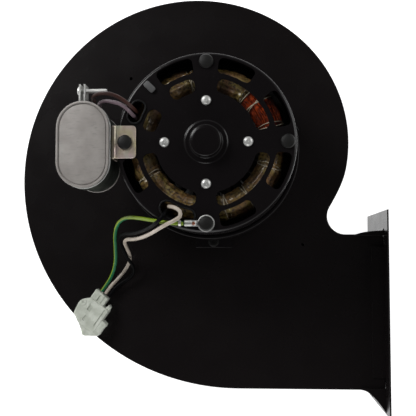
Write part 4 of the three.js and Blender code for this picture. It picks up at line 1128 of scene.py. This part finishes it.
def strap():
    radius = STRAP["inner"] + STRAP["thick"] / 2
    upper, lower = CAN["y"] + CAN["straight"] / 2, CAN["y"] - CAN["straight"] / 2
    ear = (STRAP["ear_gap"] + STRAP["thick"]) / 2
    left, right = STRAP["ear_shift"] - ear, STRAP["ear_shift"] + ear
    left_angle = degrees(acos(left / radius))
    right_angle = degrees(acos(right / radius))
    line = [(CAN["x"] + left, STRAP["ear_top"])]
    line += arc(radius, left_angle, 180, 12, CAN["x"], upper)
    line += arc(radius, 180, 360, 30, CAN["x"], lower)
    line += arc(radius, 0, right_angle, 14, CAN["x"], upper)
    line += [(CAN["x"] + right, STRAP["ear_top"])]
    outline = offset_line(line, STRAP["thick"] / 2) + offset_line(line, -STRAP["thick"] / 2)[::-1]
    band = prism(outline, STRAP["bottom"], STRAP["top"], edge=0.2)
    hole = spun(cutter(circle(STRAP["hole"]), -20, 20), 90, "Y")
    shifted(hole, CAN["x"], STRAP_SCREW["y"], STRAP_SCREW["z"])
    band = carved(band, hole)
    # The strap's upright faces round the can take the same dark metal as the can's side: painted shade, while its
    # top edge and its ears keep the zinc.
    for face in band.faces:
        on_the_can = face.calc_center_median().y < CAN["y"] + CAN["straight"] / 2 + STRAP["inner"] * 0.9
        face.material_index = 1 if on_the_can and abs(face.normal.z) < 0.3 else 0
    piece("strap", band, "capacitor_strap", extra=[FINISHES["can_side_painted_shade"]])


def strap_screw():
    length = STRAP_SCREW["to"] - STRAP_SCREW["from"]
    neck = -0.4
    profile = [(0, 1.1), (0.9, 1.15), (1.2, 1.55), (2.3, 1.4), (2.9, 0.9), (3.1, 0.1), (3, 0)]
    profile += [(SCREW_RADIUS, 0), (SCREW_RADIUS, neck)]
    profile += thread(0.8, neck, int((length - 1.2) / THREAD_PITCH))
    profile += [(SCREW_RADIUS * 0.7, -length), (0, -length)]
    screw = spun(turned(profile, 24), -90, "Y")
    shifted(screw, STRAP_SCREW["from"], STRAP_SCREW["y"], STRAP_SCREW["z"])
    piece("clamp_screw", screw, "strap_screw", crease=35)


def bracket():
    """A strip with rounded corners and a bolt hole, bent from beside the strap to the tab on the bell.

    A small step in the tab, close to the bend, lets the bend stand above the bell.
    """
    bend, leg, top = BRACKET["bend"], BRACKET["leg"], BRACKET["top"]
    upright = top - bend - BRACKET["foot"]
    curve = bend * pi / 2
    flat = BRACKET["end"] - leg - bend
    length = upright + curve + flat
    low, high = BRACKET["low"], BRACKET["high"]
    outline = rounded(rectangle(0, low, length, high), 2.6, 6)
    hole = circle(BOLT_HOLE, upright + curve + (-BOLT_CIRCLE - leg - bend), 0, 24)
    strip = prism(outline, 0, SHEET, [hole], edge=0.25)
    step_from, step_to, step = upright + curve + 0.9, upright + curve + 1.5, 0.35
    for at in [upright + curve * i / 8 for i in range(9)] + [step_from, step_to]:
        everything = strip.verts[:] + strip.edges[:] + strip.faces[:]
        bmesh.ops.bisect_plane(strip, geom=everything, plane_co=(at, 0, 0), plane_no=(1, 0, 0))
    for vert in strip.verts:
        u, y, w = vert.co
        if u <= upright:
            vert.co = (leg + w, y, BRACKET["foot"] + u)
        elif u >= upright + curve:
            rise = step * min(1, max(0, (step_to - u) / (step_to - step_from)))
            vert.co = (leg + bend + u - upright - curve, y, top + rise - w)
        else:
            a = pi - (u - upright) / bend
            vert.co = (leg + bend + (bend - w) * cos(a), y, top + step - bend + (bend - w) * sin(a))
    piece("bracket", strip, "capacitor_bracket")


# ---- Earth terminal and plug ----


def terminal():
    """A ring with a neck, a crimp on the conductor and a second crimp on the insulation."""
    low = FACE + GAP
    step = low + 1.6
    bolt_y = -BOLT_CIRCLE
    eye = shifted(turned(rounded(rectangle(BOLT_HOLE, low, 5.7, low + 0.8), 0.25, 2), 40), y=bolt_y)
    # Places along X, and heights above the bell.
    side = [
        (-4.6, 0), (-4.6, 0.8), (-5.6, 0.8), (-7.4, 2.4), (-9.4, 2.4), (-9.4, 1.6), (-7.1, 1.6), (-5.4, 0),
    ]
    side = rounded([(x, low + z) for x, z in side], 0.3, 2)
    neck = shifted(spun(prism(side, -1.9, 1.9, edge=0.2), 90, "X"), y=bolt_y)
    half = [(0.5, 3.6), (1.2, 4.1), (1.8, 3.7), (2.1, 2.6), (2, 1), (1.3, 0.1)]
    crimp = [(0, 2.2), *half, *((-x, z) for x, z in reversed(half))]
    upright = Matrix(((0, 0, 1, 0), (1, 0, 0, bolt_y), (0, 1, 0, step), (0, 0, 0, 1)))
    barrel = moved(prism(rounded(crimp, 0.5, 2), -14, -8.8, edge=0.3), upright)
    grip = turned(rounded(rectangle(1.42, 0, 1.95, 1.9), 0.3, 2), 28)
    grip = shifted(spun(grip, 90, "Y"), -18, bolt_y, 99)
    strands = []
    for k in range(7):
        y, z = (0, 0) if k == 0 else on_circle(0.62, 60 * k)
        end = (-7.4 + 0.2 * (k % 3), bolt_y + 1.1 * y, low + 3.3 + 0.9 * z)
        strands.append(painted_with(tube([(-9.4, bolt_y + y, low + 3.3 + z), end], 0.31), 1))
    made = joined(eye, neck, barrel, grip, *strands)
    piece("terminal", made, "ring_terminal", crease=40, extra=[FINISHES["conductor"]])


def plug():
    stem = prism(rounded(PLUG_STEM, 0.8, 3), 1.2, 11, edge=0.7, rounds=1)
    body = prism(rounded(PLUG_BODY, 1.2, 4), 0, 12, edge=0.9, rounds=1)
    latch = prism(rounded(PLUG_LATCH, 0.7, 3), 3, 9, edge=0.5, rounds=1)
    nose = prism(rounded(PLUG_NOSE, 1.0, 4), 0.6, 11.4, edge=1.0, rounds=1)
    ear = shifted(turned(rounded(rectangle(0.8, 0, 2.4, 0.6), 0.2, 2), 24), 13.8, -2.2, 11.8)
    made = carved(body, joined(stem, latch, nose, ear), "UNION")
    tools = [prism(PLUG_MOUTH, 2.4, 9.6, edge=0.3)]
    for y in (3.9, 7.4, 10.9):
        hole = spun(prism(circle(1.62, steps=20), -1, 2.5, edge=0.05), 90, "Y")
        tools.append(shifted(hole, 0.3, min(y, 10.2), 5.7))
    for y in (5.6, 9.1):
        tools.append(prism(rectangle(1.5, y - 0.35, 7.4, y + 0.35), 10.4, 13, edge=0.05))
    tools.append(prism(rounded(rectangle(12, 3, 17, 6.4), 0.6, 2), 11.2, 14, edge=0.05))
    tools.append(prism(rounded(rectangle(21, 4.5, 25.5, 9.5), 1, 3), 11.4, 14, edge=0.05))
    tools.append(prism(rectangle(9.2, 14.6, 24, 15.2), 11.3, 14, edge=0.05))
    made = carved(made, joined(*tools), edge=0.15, edge_angle=50)
    spun(made, PLUG["turn"])
    shifted(made, PLUG["x"], PLUG["y"], PLUG["z"])
    return piece("plug", made, "plug_housing", crease=35)


# ---- Leads ----


def earth_stripe(bm, sides):
    """A broad stripe along a lead, which turns slowly round it."""
    points = len(bm.verts) // sides
    bm.faces.ensure_lookup_table()
    for index in range(sides * (points - 1)):
        step, side = divmod(index, sides)
        centre = sides * (0.72 + 0.14 * min(1, 2 * step / points))
        distance = (side - centre + sides / 2) % sides - sides / 2
        if abs(distance) < sides * 0.22:
            bm.faces[index].material_index = 1


def lead(name, route, node, sides=16, striped=False):
    """A free lead along its route, which ends at the plug or goes back into the fan."""
    path = smooth_line(route, LEAD_STEP)
    bm = tube(path, LEAD / 2, sides)
    if striped:
        earth_stripe(bm, sides)
    made = piece(name, bm, node, crease=50, extra=[FINISHES["earth_stripe"]] if striped else ())


# ---- CAD nodes that keep their own shape ----


def carry_over():
    """The rest of the nodes keep their CAD mesh, with softened edges and the finish of their slot."""
    for name, node in frame["nodes"].items():
        if node.hide_render:
            continue
        mesh = node.data
        if "custom_normal" in mesh.attributes:
            mesh.attributes.remove(mesh.attributes["custom_normal"])
        mesh.shade_smooth()
        mesh.set_sharp_from_angle(angle=radians(CREASE))
        weld = node.modifiers.new("weld", "WELD")
        weld.merge_threshold = 0.002 * MM
        soften(node, 0.2 * MM, 50)
        mesh.materials.clear()
        mesh.materials.append(FINISHES[SLOT_OF[name]])


camera()
studio()
floor()
FINISHES = make_finishes()

plug_piece = plug()
lead("green_yellow_lead", EARTH_ROUTE, "earth_lead", sides=20, striped=True)
lead("white_wire", WHITE_ROUTE, "white_lead")
lead("black_wire", BLACK_ROUTE, "black_lead")
lead("brown_wire", BROWN_ROUTE, "brown_capacitor_lead")
lead("mauve_wire", MAUVE_ROUTE, "mauve_capacitor_lead")

housing()
flange()
inlet_ring()
bell()
shell()
feet()
fasteners()
grommet("lead_liner", LEAD_SLOT, "lead_grommet")
grommet("capacitor_lead_liner", CAPACITOR_SLOT, "capacitor_lead_grommet")
tab()
windings()
wheel()
can()
strap()
strap_screw()
bracket()
terminal()
carry_over()
